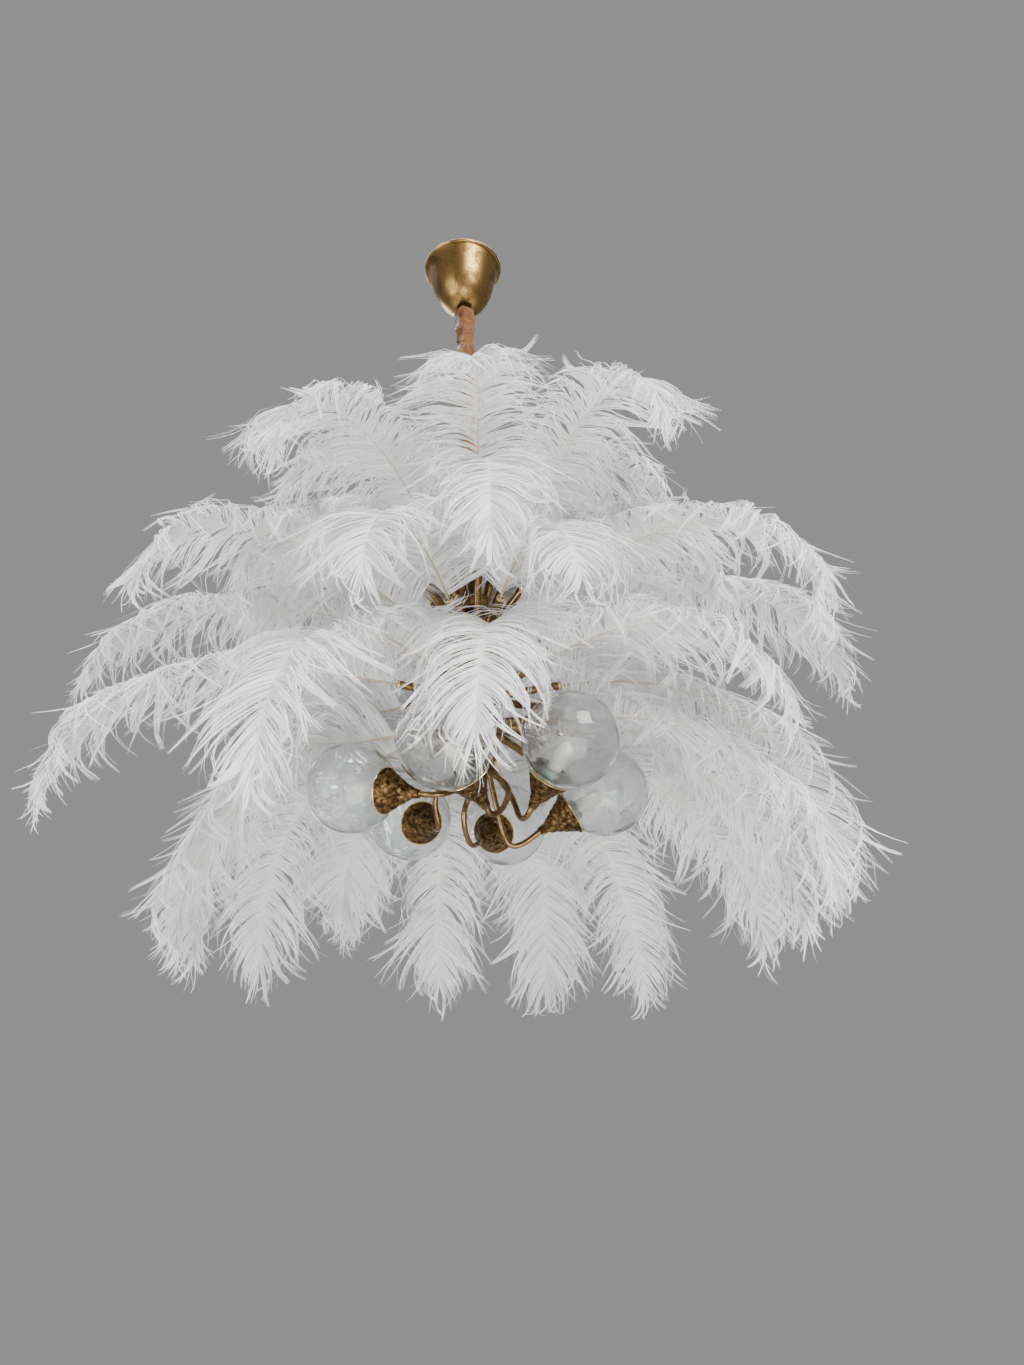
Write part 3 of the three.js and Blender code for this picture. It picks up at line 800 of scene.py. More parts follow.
class Finish(Enum):
    """The finishes that pieces are dressed in."""

    CANOPY_BRASS = AgedBrass("canopy_brass", (0.33, 0.2, 0.068), (0.09, 0.054, 0.02), 0.3, 0.6, (1, 1, 9))
    ARM_BRASS = AgedBrass("arm_brass", (0.25, 0.15, 0.06), (0.06, 0.034, 0.014), 0.24, 0.55, (1, 1, 1))
    NECK_BRASS = AgedBrass("neck_brass", (0.4, 0.2, 0.08), (0.14, 0.06, 0.028), 0.25, 0.3, (1, 1, 12))
    BRIGHT_BRASS = AgedBrass("rubbed_brass", (0.8, 0.6, 0.3), (0.4, 0.27, 0.12), 0.2, 0.1, (1, 1, 1))
    CAST = CastBronze("cast_bronze")
    STEEL = Steel("plated_steel")
    SATIN = Satin("crinkled_satin")
    DOWN = Down("plume_down")
    QUILL = Quill("plume_quill")
    GLASS = SeededGlass("seeded_glass")
    NECK_GLASS = SeededGlass("neck_glass", (0.62, 0.78, 0.74), 90.0, 0.0004, 1.5)
    BULB = FrostedGlass("milky_capsule")
    CERAMIC = Ceramic("lampholder_ceramic")
    FLOOR = FloorPaint("floor_paint")

    def material(self) -> bpy.types.Material:
        """Gives the finish's material, which is made once."""
        return bpy.data.materials.get(self.value.name) or self.value.material()


def dressed(nodes: Sequence[str], finish: Finish) -> None:
    """Gives carried-over frame nodes a finish.

    Args:
        nodes: The nodes' names.
        finish: What they are finished in.
    """
    for node in nodes:
        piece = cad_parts[node]
        for slot in piece.material_slots:
            slot.material = finish.material()
        LOG.info("dressed %s in %s", node, finish.value.name)


def fitted(piece: bpy.types.Object, body: str, slot: str, *nodes: str) -> None:
    """Makes a piece ride a body and stand for frame nodes.

    Args:
        piece: The piece.
        body: The body that it moves with.
        slot: Not used.
        nodes: The frame nodes that it stands for.
    """
    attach(piece, body)
    if nodes:
        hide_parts(*nodes)
    LOG.info("built %s: %d faces", piece.name, len(piece.data.polygons))


# ---- Ceiling fixing ----
@dataclass
class CeilingFixing:
    """The bell canopy with its rolled rim, and what holds it."""

    top: float = -0.3 * MM
    depth: float = 85 * MM
    rim_radius: float = 60 * MM
    waist_radius: float = 45 * MM
    shoulder_share: float = 0.3
    bead_radius: float = 2.6 * MM
    bead_sides: int = 18
    shoulder_flare: float = 2 * MM
    belly_flare: float = 1 * MM
    foot_round: float = 2 * MM
    wall: float = 1.6 * MM
    hole_radius: float = 5.3 * MM
    foot_radius: float = 9 * MM
    nut_top: float = -85.6 * MM
    nut_height: float = 8 * MM
    nut_radius: float = 7 * MM
    nut_edge: float = 0.7 * MM
    steps: int = 56
    sides: int = 144
    body: str = "ceiling_fixture"

    def outline(self, inset: float) -> list[tuple[float, float]]:
        """Draws the bell's half profile from its rim to its foot.

        Args:
            inset: How far it is drawn in, for the inner face.

        Returns:
            Pairs of radius and height.
        """
        foot = self.top - self.depth + inset
        shoulder = self.top - self.shoulder_share * self.depth
        ends = np.array(
            [
                (self.rim_radius - self.bead_radius - inset, self.top - self.bead_radius),
                (self.waist_radius + self.shoulder_flare - inset, shoulder),
                (self.waist_radius + self.belly_flare - inset, foot + self.foot_round),
                (self.foot_radius, foot),
            ]
        )
        t = np.linspace(0.0, 1.0, self.steps)[:, None]
        curve = (
            (1 - t) ** 3 * ends[0]
            + 3 * t * (1 - t) ** 2 * ends[1]
            + 3 * t**2 * (1 - t) * ends[2]
            + t**3 * ends[3]
        )
        return [tuple(pair) for pair in curve]

    def canopy(self) -> None:
        """Builds the bell with its rolled rim."""
        shape = Shape()
        bottom = self.top - self.depth
        loop = [
            *self.outline(self.wall),
            (self.hole_radius, bottom + self.wall),
            (self.hole_radius, bottom),
            *reversed(self.outline(0.0)),
        ]
        shape.turned(loop[::-1], self.sides, closed=True)
        turn = np.linspace(0.0, 2.0 * math.pi, self.bead_sides, endpoint=False)
        middle = (self.rim_radius - self.bead_radius, self.top - self.bead_radius)
        round_by = self.bead_radius
        bead = [(middle[0] + round_by * math.cos(a), middle[1] + round_by * math.sin(a)) for a in turn]
        shape.turned(bead, self.sides, closed=True)
        piece = shape.build("canopy_bell", [Finish.CANOPY_BRASS.material()])
        fitted(piece, self.body, "antique_brass", "canopy")

    def nut(self) -> None:
        """Builds the neck nut with rounded edges and a waist line."""
        shape = Shape()
        low, high, edge = self.nut_top - self.nut_height, self.nut_top, self.nut_edge
        middle = (low + high) / 2
        profile = [
            (self.hole_radius, low),
            (self.nut_radius - edge, low),
            (self.nut_radius, low + edge),
            (self.nut_radius, middle - 0.5 * edge),
            (self.nut_radius - 0.5 * edge, middle),
            (self.nut_radius, middle + 0.5 * edge),
            (self.nut_radius, high - edge),
            (self.nut_radius - edge, high),
            (self.hole_radius, high),
        ]
        shape.turned(profile, self.sides // 2, closed=True)
        piece = shape.build("neck_nut", [Finish.NECK_BRASS.material()])
        fitted(piece, self.body, "antique_brass", "canopy_nut")

    def build(self) -> None:
        """Builds and dresses the whole fixing."""
        self.canopy()
        self.nut()
        dressed(["mounting_bracket"], Finish.STEEL)
        dressed(["threaded_stem"], Finish.NECK_BRASS)


# ---- Suspension ----
@dataclass
class Suspension:
    """The satin sleeve gathered over the rope."""

    top: float = -93.9 * MM
    bottom: float = -420 * MM
    radius: float = 12.4 * MM
    inner_ends: float = 11.5 * MM
    eye_clear: float = -138 * MM
    cap_clear: float = -396 * MM
    waist: float = 9.0 * MM
    fold_depth: float = 4.6 * MM
    folds: int = 4
    fold_sharpness: float = 0.7
    twist: float = 26.0
    meander: float = 0.9
    meander_rate: float = 31.0
    stray_scale: float = 30 * MM
    crinkle: float = 0.7 * MM
    crease_scale: float = 14 * MM
    crease_crossing: float = 1.4
    end_ease: float = 8 * MM
    end_folds: float = 0.75
    cloth: float = 0.5 * MM
    roll: float = 1.5 * MM
    hem: float = 8 * MM
    rows: int = 420
    sides: int = 96
    swing_top: float = -105 * MM
    swing_foot: float = -150 * MM

    def surface(self, inset: float) -> np.ndarray:
        """Gives the rows of one face of the cloth, from its top down.

        Args:
            inset: How far inside the outer face it is.

        Returns:
            Rows of points for Shape.loft.
        """
        angle = np.linspace(0.0, 2.0 * math.pi, self.sides, endpoint=False)[None, :]
        z = np.linspace(self.top, self.bottom, self.rows)[:, None]
        plain = wrapped(self.waist, angle, z)
        wander = self.meander * np.sin(self.meander_rate * z)
        swirl = self.folds * angle / 2 + self.twist * z + wander + 0.5 * waves(plain, self.stray_scale, 2)
        ridges = 1 - np.abs(np.sin(swirl)) ** self.fold_sharpness
        short = plain * (1, 1, self.crease_crossing)
        creases = 0.6 * waves(short, self.crease_scale, 3) + 0.4 * waves(short, self.crease_scale / 2, 4)
        radius = self.waist + self.fold_depth * ridges + self.crinkle * creases
        over_eye = eased(z, self.eye_clear, self.eye_clear + self.end_ease)
        ends = over_eye + eased(z, self.cap_clear, self.cap_clear - self.end_ease)
        wide = self.radius + self.end_folds * self.fold_depth * ridges + self.crinkle * creases
        radius = radius + (wide - radius) * np.clip(ends, 0, 1)
        radius = radius + self.roll * eased(np.abs(z - self.top - self.hem / 2), self.hem, 0.0)
        least = self.inner_ends * np.clip(ends, 0, 1) + self.cloth
        return wrapped(np.maximum(radius, least) - inset, angle, z)

    def sleeve(self) -> None:
        """Builds the sleeve as one piece of cloth."""
        outside, inside = self.surface(0.0), self.surface(self.cloth)
        shape = Shape()
        shape.loft(np.concatenate([inside, outside[::-1]]), closed=True)
        piece = shape.build("satin_sleeve", [Finish.SATIN.material()], 80.0)
        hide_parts("sleeve_collar", "fabric_sleeve")
        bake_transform(piece)

    def build(self) -> None:
        """Builds the sleeve and dresses what it hides."""
        self.sleeve()
        dressed(["swivel_eye", "suspension_rope"], Finish.STEEL)


# ---- Column ----
@dataclass
class Column:
    """The column and the hub under it that the arms leave."""

    hub_top: float = -796.6 * MM
    hub_height: float = 26 * MM
    hub_radius: float = 22 * MM
    edge: float = 4 * MM
    spigot_radius: float = 6.2 * MM
    spigot: float = 10 * MM
    foot_radius: float = 5 * MM
    sides: int = 96

    def hub(self) -> None:
        """Builds the hub with rounded edges, a groove and a domed foot."""
        shape = Shape()
        low, high, radius, edge = self.hub_top - self.hub_height, self.hub_top, self.hub_radius, self.edge
        turn = np.radians(np.linspace(-90, 0, 8))
        rounded = [(radius - edge + edge * math.cos(a), low + edge + edge * math.sin(a)) for a in turn]
        upper = [(r, high - (z - low)) for r, z in reversed(rounded)]
        middle = (low + high) / 2
        groove = [
            (radius, middle - 1.2 * MM),
            (radius - 0.8 * MM, middle - 0.6 * MM),
            (radius - 0.8 * MM, middle + 0.6 * MM),
            (radius, middle + 1.2 * MM),
        ]
        foot = [(0.5 * MM, low + 0.4 * MM), (self.foot_radius, low + 0.4 * MM), (self.foot_radius, low)]
        spigot = [
            (self.spigot_radius, high),
            (self.spigot_radius, high + self.spigot),
            (0.5 * MM, high + self.spigot),
        ]
        shape.turned([*foot, *rounded, *groove, *upper, *spigot], self.sides)
        piece = shape.build("hub", [Finish.ARM_BRASS.material()])
        fitted(piece, "hanging_frame", "antique_brass", "arm_hub")

    def build(self) -> None:
        """Builds the hub and dresses the column."""
        self.hub()
        dressed(["column_cap", "column"], Finish.ARM_BRASS)


# ---- Plume rings and plumes ----
@dataclass(frozen=True)
class Bend:
    """How one plume grows: its share of the longest length, the slope at its tip, its sway and its curl."""

    share: float
    tip: float
    sway: float
    curl: float
    node: str = ""


@dataclass(frozen=True)
class Ring:
    """One ring of socket tubes, with the plumes in them in order."""

    above: float
    length: float
    rise: float
    first: float
    step: float
    bends: tuple[Bend, ...]


RINGS = (
    Ring(
        above=186 * MM,
        length=62 * MM,
        rise=76,
        first=8,
        step=60,
        bends=(
            Bend(0.78, -55, -15, 1.0, "plume_1"),
            Bend(0.64, -70, 10, 1.3),
            Bend(0.72, -65, 0, 1.3),
            Bend(0.74, -70, 0, 1.4),
            Bend(0.7, -65, 0, 1.3),
            Bend(0.66, -75, -10, 1.3),
        ),
    ),
    Ring(
        above=140 * MM,
        length=84 * MM,
        rise=54,
        first=-75,
        step=40,
        bends=(
            Bend(0.66, -100, 0, 1.4),
            Bend(0.82, -95, 0, 1.8, "plume_2"),
            Bend(0.74, -106, -4, 1.0),
            Bend(0.8, -100, -15, 2.6, "plume_3"),
            Bend(0.68, -90, 0, 1.5),
            Bend(0.8, -90, 0, 1.8),
            Bend(0.84, -90, 0, 1.8, "plume_4"),
            Bend(0.84, -90, 0, 1.8),
            Bend(0.76, -90, 0, 1.8),
        ),
    ),
    Ring(
        above=100 * MM,
        length=94 * MM,
        rise=30,
        first=-100,
        step=40,
        bends=(
            Bend(0.9, -60, 35, 1.4, "plume_5"),
            Bend(0.78, -80, 0, 2.1),
            Bend(0.66, -85, 6, 1.2),
            Bend(0.62, -78, -6, 1.0),
            Bend(0.9, -100, -5, 1.7, "plume_6"),
            Bend(0.98, -85, -10, 1.9, "plume_7"),
            Bend(0.94, -80, 0, 1.7),
            Bend(0.94, -80, 0, 1.7, "plume_8"),
            Bend(0.94, -80, 0, 1.7),
        ),
    ),
    Ring(
        above=52 * MM,
        length=95 * MM,
        rise=6,
        first=-74,
        step=40,
        bends=(
            Bend(0.92, -80, 0, 2.0, "plume_9"),
            Bend(0.84, -90, 15, 1.2, "plume_10"),
            Bend(0.66, -85, -25, 1.0),
            Bend(0.7, -85, 25, 2.0),
            Bend(1.0, -100, 45, 1.4, "plume_11"),
            Bend(0.94, -85, 0, 1.6),
            Bend(1.0, -125, 0, 1.1, "plume_12"),
            Bend(0.96, -80, 0, 1.6, "plume_13"),
            Bend(0.94, -95, 5, 1.1, "plume_14"),
        ),
    ),
    Ring(
        above=16 * MM,
        length=95 * MM,
        rise=-5,
        first=74,
        step=24,
        bends=(
            Bend(0.8, -90, -20, 1.4),
            Bend(0.82, -90, 0, 1.4),
            Bend(0.92, -90, 0, 1.9),
            Bend(0.98, -65, 15, 1.1),
            Bend(0.82, -95, -10, 1.8),
            Bend(0.8, -85, -10, 1.1),
            Bend(0.62, -100, 0, 2.0),
            Bend(0.9, -100, -45, 2.0),
            Bend(0.78, -95, 0, 1.4),
        ),
    ),
)


@dataclass
class PlumeRings:
    """The collars on the column with their socket tubes."""

    foot: float = -796.3 * MM
    column_radius: float = 8 * MM
    gap: float = 0.3 * MM
    root: float = 2 * MM
    tube_radius: float = 5.2 * MM
    bore_radius: float = 3.2 * MM
    bore_depth: float = 30 * MM
    collar_height: float = 16 * MM
    collar_wall: float = 9 * MM
    collar_margin: float = 0.5 * MM
    edge: float = 0.6 * MM
    sides: int = 28

    def height(self, ring: Ring) -> float:
        """Gives the height of a ring's middle."""
        return self.foot + ring.above

    def start(self, ring: Ring) -> float:
        """Gives the distance from the column's axis at which a ring's tubes start."""
        lean = abs(math.sin(math.radians(ring.rise)))
        return self.column_radius + self.gap + self.root + self.tube_radius * lean

    def socket(self, ring: Ring, index: int) -> tuple[np.ndarray, np.ndarray, float]:
        """Finds one socket tube.

        Args:
            ring: The ring.
            index: Which of its sockets.

        Returns:
            Where the tube starts, its direction and its azimuth.
        """
        azimuth = ring.first + ring.step * index
        begin = heading(azimuth) * self.start(ring)
        begin[2] = self.height(ring)
        return begin, pointing(azimuth, np.float64(ring.rise)), azimuth

    def tube(self, shape: Shape, ring: Ring, index: int) -> None:
        """Adds a socket tube with a blind bore and a rubbed lip.

        Args:
            shape: The shape that it is added to.
            ring: The ring.
            index: Which of its sockets.
        """
        begin, along, _ = self.socket(ring, index)
        end, outer, bore, edge = ring.length, self.tube_radius, self.bore_radius, self.edge
        place = placed_at(begin, along)
        wall = [(0.2 * MM, 0.0), (outer, 0.0), (outer, end - 5 * MM), (outer - 0.3 * MM, end - 4.6 * MM)]
        lip = [
            (outer - 0.3 * MM, end - 4.6 * MM),
            (outer, end - 4.2 * MM),
            (outer, end - edge),
            (outer - edge, end),
            (bore + edge / 2, end),
            (bore, end - edge / 2),
            (bore, end - self.bore_depth),
            (0.2 * MM, end - self.bore_depth),
        ]
        shape.turned(wall + lip[1:], self.sides, slot=0, place=place)
        ring_profile = [
            (outer - 0.2 * MM, end - 3.2 * MM),
            (outer + 0.25 * MM, end - 3.0 * MM),
            (outer + 0.25 * MM, end - 0.5 * MM),
            (outer - 0.4 * MM, end + 0.1 * MM),
            (bore + 0.3 * MM, end + 0.1 * MM),
            (bore + 0.3 * MM, end - 3.2 * MM),
        ]
        shape.turned(ring_profile, self.sides, closed=True, slot=1, place=place)

    def collar(self, shape: Shape, ring: Ring) -> None:
        """Adds a ring's collar with rounded edges.

        Args:
            shape: The shape that it is added to.
            ring: The ring.
        """
        lean = abs(math.sin(math.radians(ring.rise)))
        cover = self.start(ring) + self.tube_radius * lean + self.collar_margin
        radius = max(self.column_radius + self.collar_wall, cover)
        low, high = self.height(ring) - self.collar_height / 2, self.height(ring) + self.collar_height / 2
        hole = self.column_radius + self.gap
        profile = [
            (hole, low),
            (radius - self.edge, low),
            (radius, low + self.edge),
            (radius, high - self.edge),
            (radius - self.edge, high),
            (hole, high),
        ]
        shape.turned(profile, 2 * self.sides, closed=True)

    def build(self) -> None:
        """Builds each ring as one piece."""
        materials = [Finish.ARM_BRASS.material(), Finish.BRIGHT_BRASS.material()]
        for number, ring in enumerate(RINGS, 1):
            shape = Shape()
            self.collar(shape, ring)
            for index in range(len(ring.bends)):
                self.tube(shape, ring, index)
            piece = shape.build(f"socket_ring_{number}", materials)
            fitted(piece, "hanging_frame", "antique_brass", f"plume_ring_{number}")


@dataclass
class Barbs:
    """The barbs of one plume, with a row of each array for each barb.

    Attributes:
        side: -1 on one side of the quill and 1 on the other.
        share: How far along the quill it starts, from 0 to 1.
        root: Where it starts.
        along: The direction of the quill there.
        across: The level direction square to the quill.
        over: The direction square to both.
        clump: Which clump it hangs in.
        kind: The random numbers of its clump.
        own: The random numbers of its own.
        slow: What changes slowly along the quill, in four rows.
    """

    side: np.ndarray
    share: np.ndarray
    root: np.ndarray
    along: np.ndarray
    across: np.ndarray
    over: np.ndarray
    clump: np.ndarray
    kind: np.ndarray
    own: np.ndarray
    slow: np.ndarray

    @property
    def steep(self) -> np.ndarray:
        """How steeply the quill falls at each barb, from 0 to 1."""
        return np.clip(-self.along[:, 2:3], 0.0, 1.0)


@dataclass
class Plumage:
    """All the plumes, each a quill with soft hanging barbs.

    A span is a pair of shares along the quill, between which a change eases in. The comb is the angle in
    degrees between a barb and the quill, and the lift is how far it leaves above the quill's level side.
    """

    rings: PlumeRings
    longest: float = 500 * MM
    insert: float = 20 * MM
    bare: float = 5 * MM
    quill_radius: float = 1.9 * MM
    tip_radius: float = 0.35 * MM
    quill_sides: int = 7
    stations: int = 56
    barb_length: float = 124 * MM
    barb_spacing: float = 0.85 * MM
    barb_width: float = 1.55 * MM
    barb_steps: int = 7
    barb_jitter: float = 0.3
    clump: int = 4
    drift_knots: int = 9
    foot_span: tuple[float, float] = (0.3, 0.0)
    foot_fullness: float = 1.15
    foot_excess: float = 0.15
    foot_excess_span: tuple[float, float] = (0.05, 0.3)
    tip_shortening: float = 0.52
    tip_span: tuple[float, float] = (0.74, 1.0)
    reach: float = 0.84
    reach_drift: float = 0.1
    reach_clump: float = 0.16
    reach_own: float = 0.1
    comb: float = 68.0
    comb_close: float = 6.0
    comb_hanging: float = 7.0
    comb_foot_span: tuple[float, float] = (0.25, 0.0)
    comb_late_span: tuple[float, float] = (0.8, 0.95)
    comb_end_span: tuple[float, float] = (0.92, 1.0)
    comb_foot: float = 12.0
    comb_late: float = 14.0
    comb_end: float = 32.0
    comb_vary: float = 5.0
    comb_drift: float = 7.0
    lift: float = 18.0
    lift_foot: float = 26.0
    lift_drift: float = 14.0
    lift_vary: float = 8.0
    droop: float = 0.92
    droop_rise: float = 0.95
    droop_foot: float = 0.3
    droop_vary: float = 0.06
    aside: float = 0.16
    aside_drift: float = 0.2
    ahead_drift: float = 0.25
    curl_side: float = 2.2
    curl_in: float = 2.4
    curl_bias: float = 0.35
    curl_hanging: float = 0.3
    curl_least: float = 0.45
    curl_more: float = 1.9
    curl_rarity: float = 1.6
    curl_own: float = 0.4
    curl_rise: float = 1.3
    curl_start: float = 0.42
    curl_gain: float = 2.2
    weave: float = 0.2
    gather: float = 0.8
    low_limit: tuple[float, float, float] = (-0.516, -0.376, -1.094)
    high_limit: tuple[float, float, float] = (0.522, 0.51, 0.0)
    spine_clear: float = 8 * MM
    spine_rounds: int = 10
    clearances: list[tuple[np.ndarray, np.ndarray, float]] = field(default_factory=list)

    @property
    def places(self) -> np.ndarray:
        """How far along a barb each of its points is, from 0 to 1."""
        return np.arange(self.barb_steps + 1) / self.barb_steps

    def pushed(self, points: np.ndarray, more: float = 0.0) -> np.ndarray:
        """Moves points out of the spaces that the globes sit in and lift through.

        Args:
            points: The points.
            more: How much further out they are moved.

        Returns:
            The points, moved where they were inside.
        """
        for start, end, radius in self.clearances:
            line = end - start
            share = np.clip(((points - start) @ line) / (line @ line), 0.0, 1.0)
            away = points - (start + share[..., None] * line)
            distance = np.linalg.norm(away, axis=-1, keepdims=True)
            clear = radius + more
            points = np.where(distance < clear, points + away / distance * (clear - distance), points)
        return points

    def spine(self, ring: Ring, index: int, bend: Bend) -> tuple[np.ndarray, np.ndarray, np.ndarray]:
        """Draws the line of a quill past its socket.

        Args:
            ring: The ring that it is in.
            index: Which of the ring's sockets.
            bend: How it grows.

        Returns:
            Its points, and its slope and azimuth at each.
        """
        begin, along, azimuth = self.rings.socket(ring, index)
        mouth = begin + along * ring.length
        share = (np.arange(self.stations) + 0.5) / self.stations
        stride = bend.share * self.longest / self.stations
        slope = ring.rise + (bend.tip - ring.rise) * share**bend.curl
        turn = azimuth + bend.sway * share
        points = mouth + np.vstack([np.zeros(3), np.cumsum(pointing(turn, slope) * stride, axis=0)])
        for _ in range(self.spine_rounds):
            points[2:] = self.pushed(points[2:], self.spine_clear)
            points[2:-1] = (points[1:-2] + 2 * points[2:-1] + points[3:]) / 4
        points[2:] = self.pushed(points[2:], self.spine_clear)
        ends = np.arange(self.stations + 1) / self.stations
        return points, ring.rise + (bend.tip - ring.rise) * ends**bend.curl, azimuth + bend.sway * ends

    def quill(self, shape: Shape, ring: Ring, index: int, points: np.ndarray) -> None:
        """Adds the tapered quill, from inside its socket to the plume's tip.

        Args:
            shape: The shape that it is added to.
            ring: The ring that it is in.
            index: Which of the ring's sockets.
            points: The line past the socket.
        """
        _, along, _ = self.rings.socket(ring, index)
        path = np.vstack([points[0] - along * self.insert, points[0] - along * 0.5 * self.insert, points])
        share = np.linspace(0.0, 1.0, len(path))
        radii = self.quill_radius + (self.tip_radius - self.quill_radius) * share**0.8
        rows = swept(path, radii, self.quill_sides)
        around = np.linspace(*QUILL_STRIP, self.quill_sides)
        uv = np.stack(np.broadcast_arrays(share[:, None], around[None, :]), -1)
        shape.loft(rows, slot=1, uv=uv)

    def barbs(
        self, points: np.ndarray, slope: np.ndarray, azimuth: np.ndarray, length: float, seed: int
    ) -> Barbs:
        """Sets out the barbs of both sides along a quill, in clumps.

        Args:
            points: The quill's line past its socket.
            slope: The slope at each point.
            azimuth: The azimuth at each point.
            length: The length of that line.
            seed: Which pattern of clumps it has.

        Returns:
            The barbs, one side's before the other's.
        """
        rng = np.random.default_rng(seed)
        per_side = int((length - self.bare) / self.barb_spacing)
        count = 2 * per_side
        side = np.repeat([-1.0, 1.0], per_side)[:, None]
        even = np.tile(np.linspace(0.0, 1.0, per_side), 2)
        share = np.clip(even + rng.normal(0, self.barb_jitter / per_side, count), 0.0, 1.0)
        start = self.bare / length
        at = (start + (1 - start) * share) * (len(points) - 1)
        grid = np.arange(len(points))
        root = np.stack([np.interp(at, grid, points[:, i]) for i in range(3)], -1)
        lean, turn = np.interp(at, grid, slope), np.interp(at, grid, azimuth)
        clump = np.cumsum(rng.random(count) < 1.0 / self.clump)
        clump[per_side:] += clump[per_side - 1] + 1
        kind = rng.random((clump.max() + 1, 8))[clump]
        own = rng.random((count, 6))
        knots = np.linspace(0.0, 1.0, self.drift_knots)
        pairs = rng.uniform(-1.0, 1.0, (4, 2, len(knots)))
        left = side[:, 0] < 0
        slow = np.array([np.where(left, *(np.interp(share, knots, row) for row in pair)) for pair in pairs])
        frame_axes = pointing(turn, lean), heading(turn + 90), pointing(turn, lean + 90)
        return Barbs(side, share, root, *frame_axes, clump, kind, own, slow[:, :, None])

    def leaving(self, barbs: Barbs) -> np.ndarray:
        """Gives the direction in which each barb leaves the quill."""
        share, kind, own, slow = barbs.share, barbs.kind, barbs.own, barbs.slow
        foot = eased(share, *self.foot_span)[:, None]
        comb = (
            self.comb
            - self.comb_close * share
            + self.comb_foot * eased(share, *self.comb_foot_span)
            - self.comb_late * eased(share, *self.comb_late_span)
            - self.comb_end * eased(share, *self.comb_end_span)
            + self.comb_vary * (kind[:, 1] - 0.5)
            + self.comb_vary * (own[:, 1] - 0.5)
        )
        comb = np.radians(comb[:, None] + self.comb_drift * slow[1] - self.comb_hanging * barbs.steep)
        lift = np.radians(
            self.lift
            + self.lift_foot * foot
            + self.lift_drift * slow[2]
            + self.lift_vary * (kind[:, 2:3] - 0.5)
            + self.lift_vary * (own[:, 2:3] - 0.5)
        )
        out = barbs.side * barbs.across * np.cos(lift) + barbs.over * np.sin(lift)
        return np.cos(comb) * barbs.along + np.sin(comb) * out

    def paths(self, barbs: Barbs) -> np.ndarray:
        """Draws each barb's line as it arches over, falls and curls.

        Args:
            barbs: The barbs.

        Returns:
            A row of points for each barb.
        """
        side, share, along, across = barbs.side, barbs.share, barbs.along, barbs.across
        kind, own, slow = barbs.kind, barbs.own, barbs.slow
        first = self.leaving(barbs)
        full = self.foot_fullness - self.foot_excess * eased(share, *self.foot_excess_span)
        full = full * (1 - self.tip_shortening * eased(share, *self.tip_span))
        varied = self.reach + self.reach_drift * slow[0, :, 0] + self.reach_clump * kind[:, 0]
        reach = self.barb_length * full * (varied + self.reach_own * own[:, 0])
        foot = eased(share, *self.foot_span)[:, None]
        droop = self.droop - self.droop_foot * foot + self.droop_vary * kind[:, 3:4]
        aside = side * across * (self.aside + self.aside_drift * slow[3])
        falling = unit(DOWN + aside + self.ahead_drift * along * slow[1])
        level = unit(np.stack([-first[:, 1], first[:, 0], 0 * first[:, 0]], -1) + 1e-6)
        bias = kind[:, 5:6] - self.curl_bias - self.curl_hanging * barbs.steep
        inward = first * (1, 1, 0) * bias * self.curl_in
        curl_way = unit(level * (kind[:, 4:5] - 0.5) * self.curl_side + inward)
        curl = self.curl_least + self.curl_more * kind[:, 6:7] ** self.curl_rarity
        curl = curl + self.curl_own * (own[:, 3:4] - 0.5)
        paths = [barbs.root]
        steps = self.barb_steps
        for step in range(steps):
            s = (step + 0.5) / steps
            hang = droop * s**self.droop_rise
            direction = unit(
                first * (1 - hang)
                + falling * hang
                + curl_way * curl * max(0.0, s - self.curl_start) ** self.curl_rise * self.curl_gain
                + level
                * self.weave
                * np.sin(6.3 * (s * (0.6 + kind[:, 7:8]) + own[:, 4:5] * 0.25 + kind[:, 0:1]))
            )
            paths.append(paths[-1] + direction * (reach / steps)[:, None])
        return np.stack(paths, 1)

    def gathered(self, barbs: Barbs, path: np.ndarray) -> np.ndarray:
        """Draws the ends of each clump together, inside the limits and clear of the globes.

        Args:
            barbs: The barbs.
            path: A row of points for each barb.

        Returns:
            The moved points.
        """
        clumps = barbs.clump.max() + 1
        totals = np.bincount(barbs.clump, minlength=clumps)[:, None, None]
        middle = np.zeros((clumps, *path.shape[1:]))
        np.add.at(middle, barbs.clump, path)
        middle /= np.maximum(totals, 1)
        closing = self.gather * eased(self.places, 0.35, 0.9)
        path = path + (middle[barbs.clump] - path) * (
            closing[None, :, None] * (0.6 + 0.4 * barbs.kind[:, None, 1:2])
        )
        return self.pushed(np.clip(path, self.low_limit, self.high_limit))

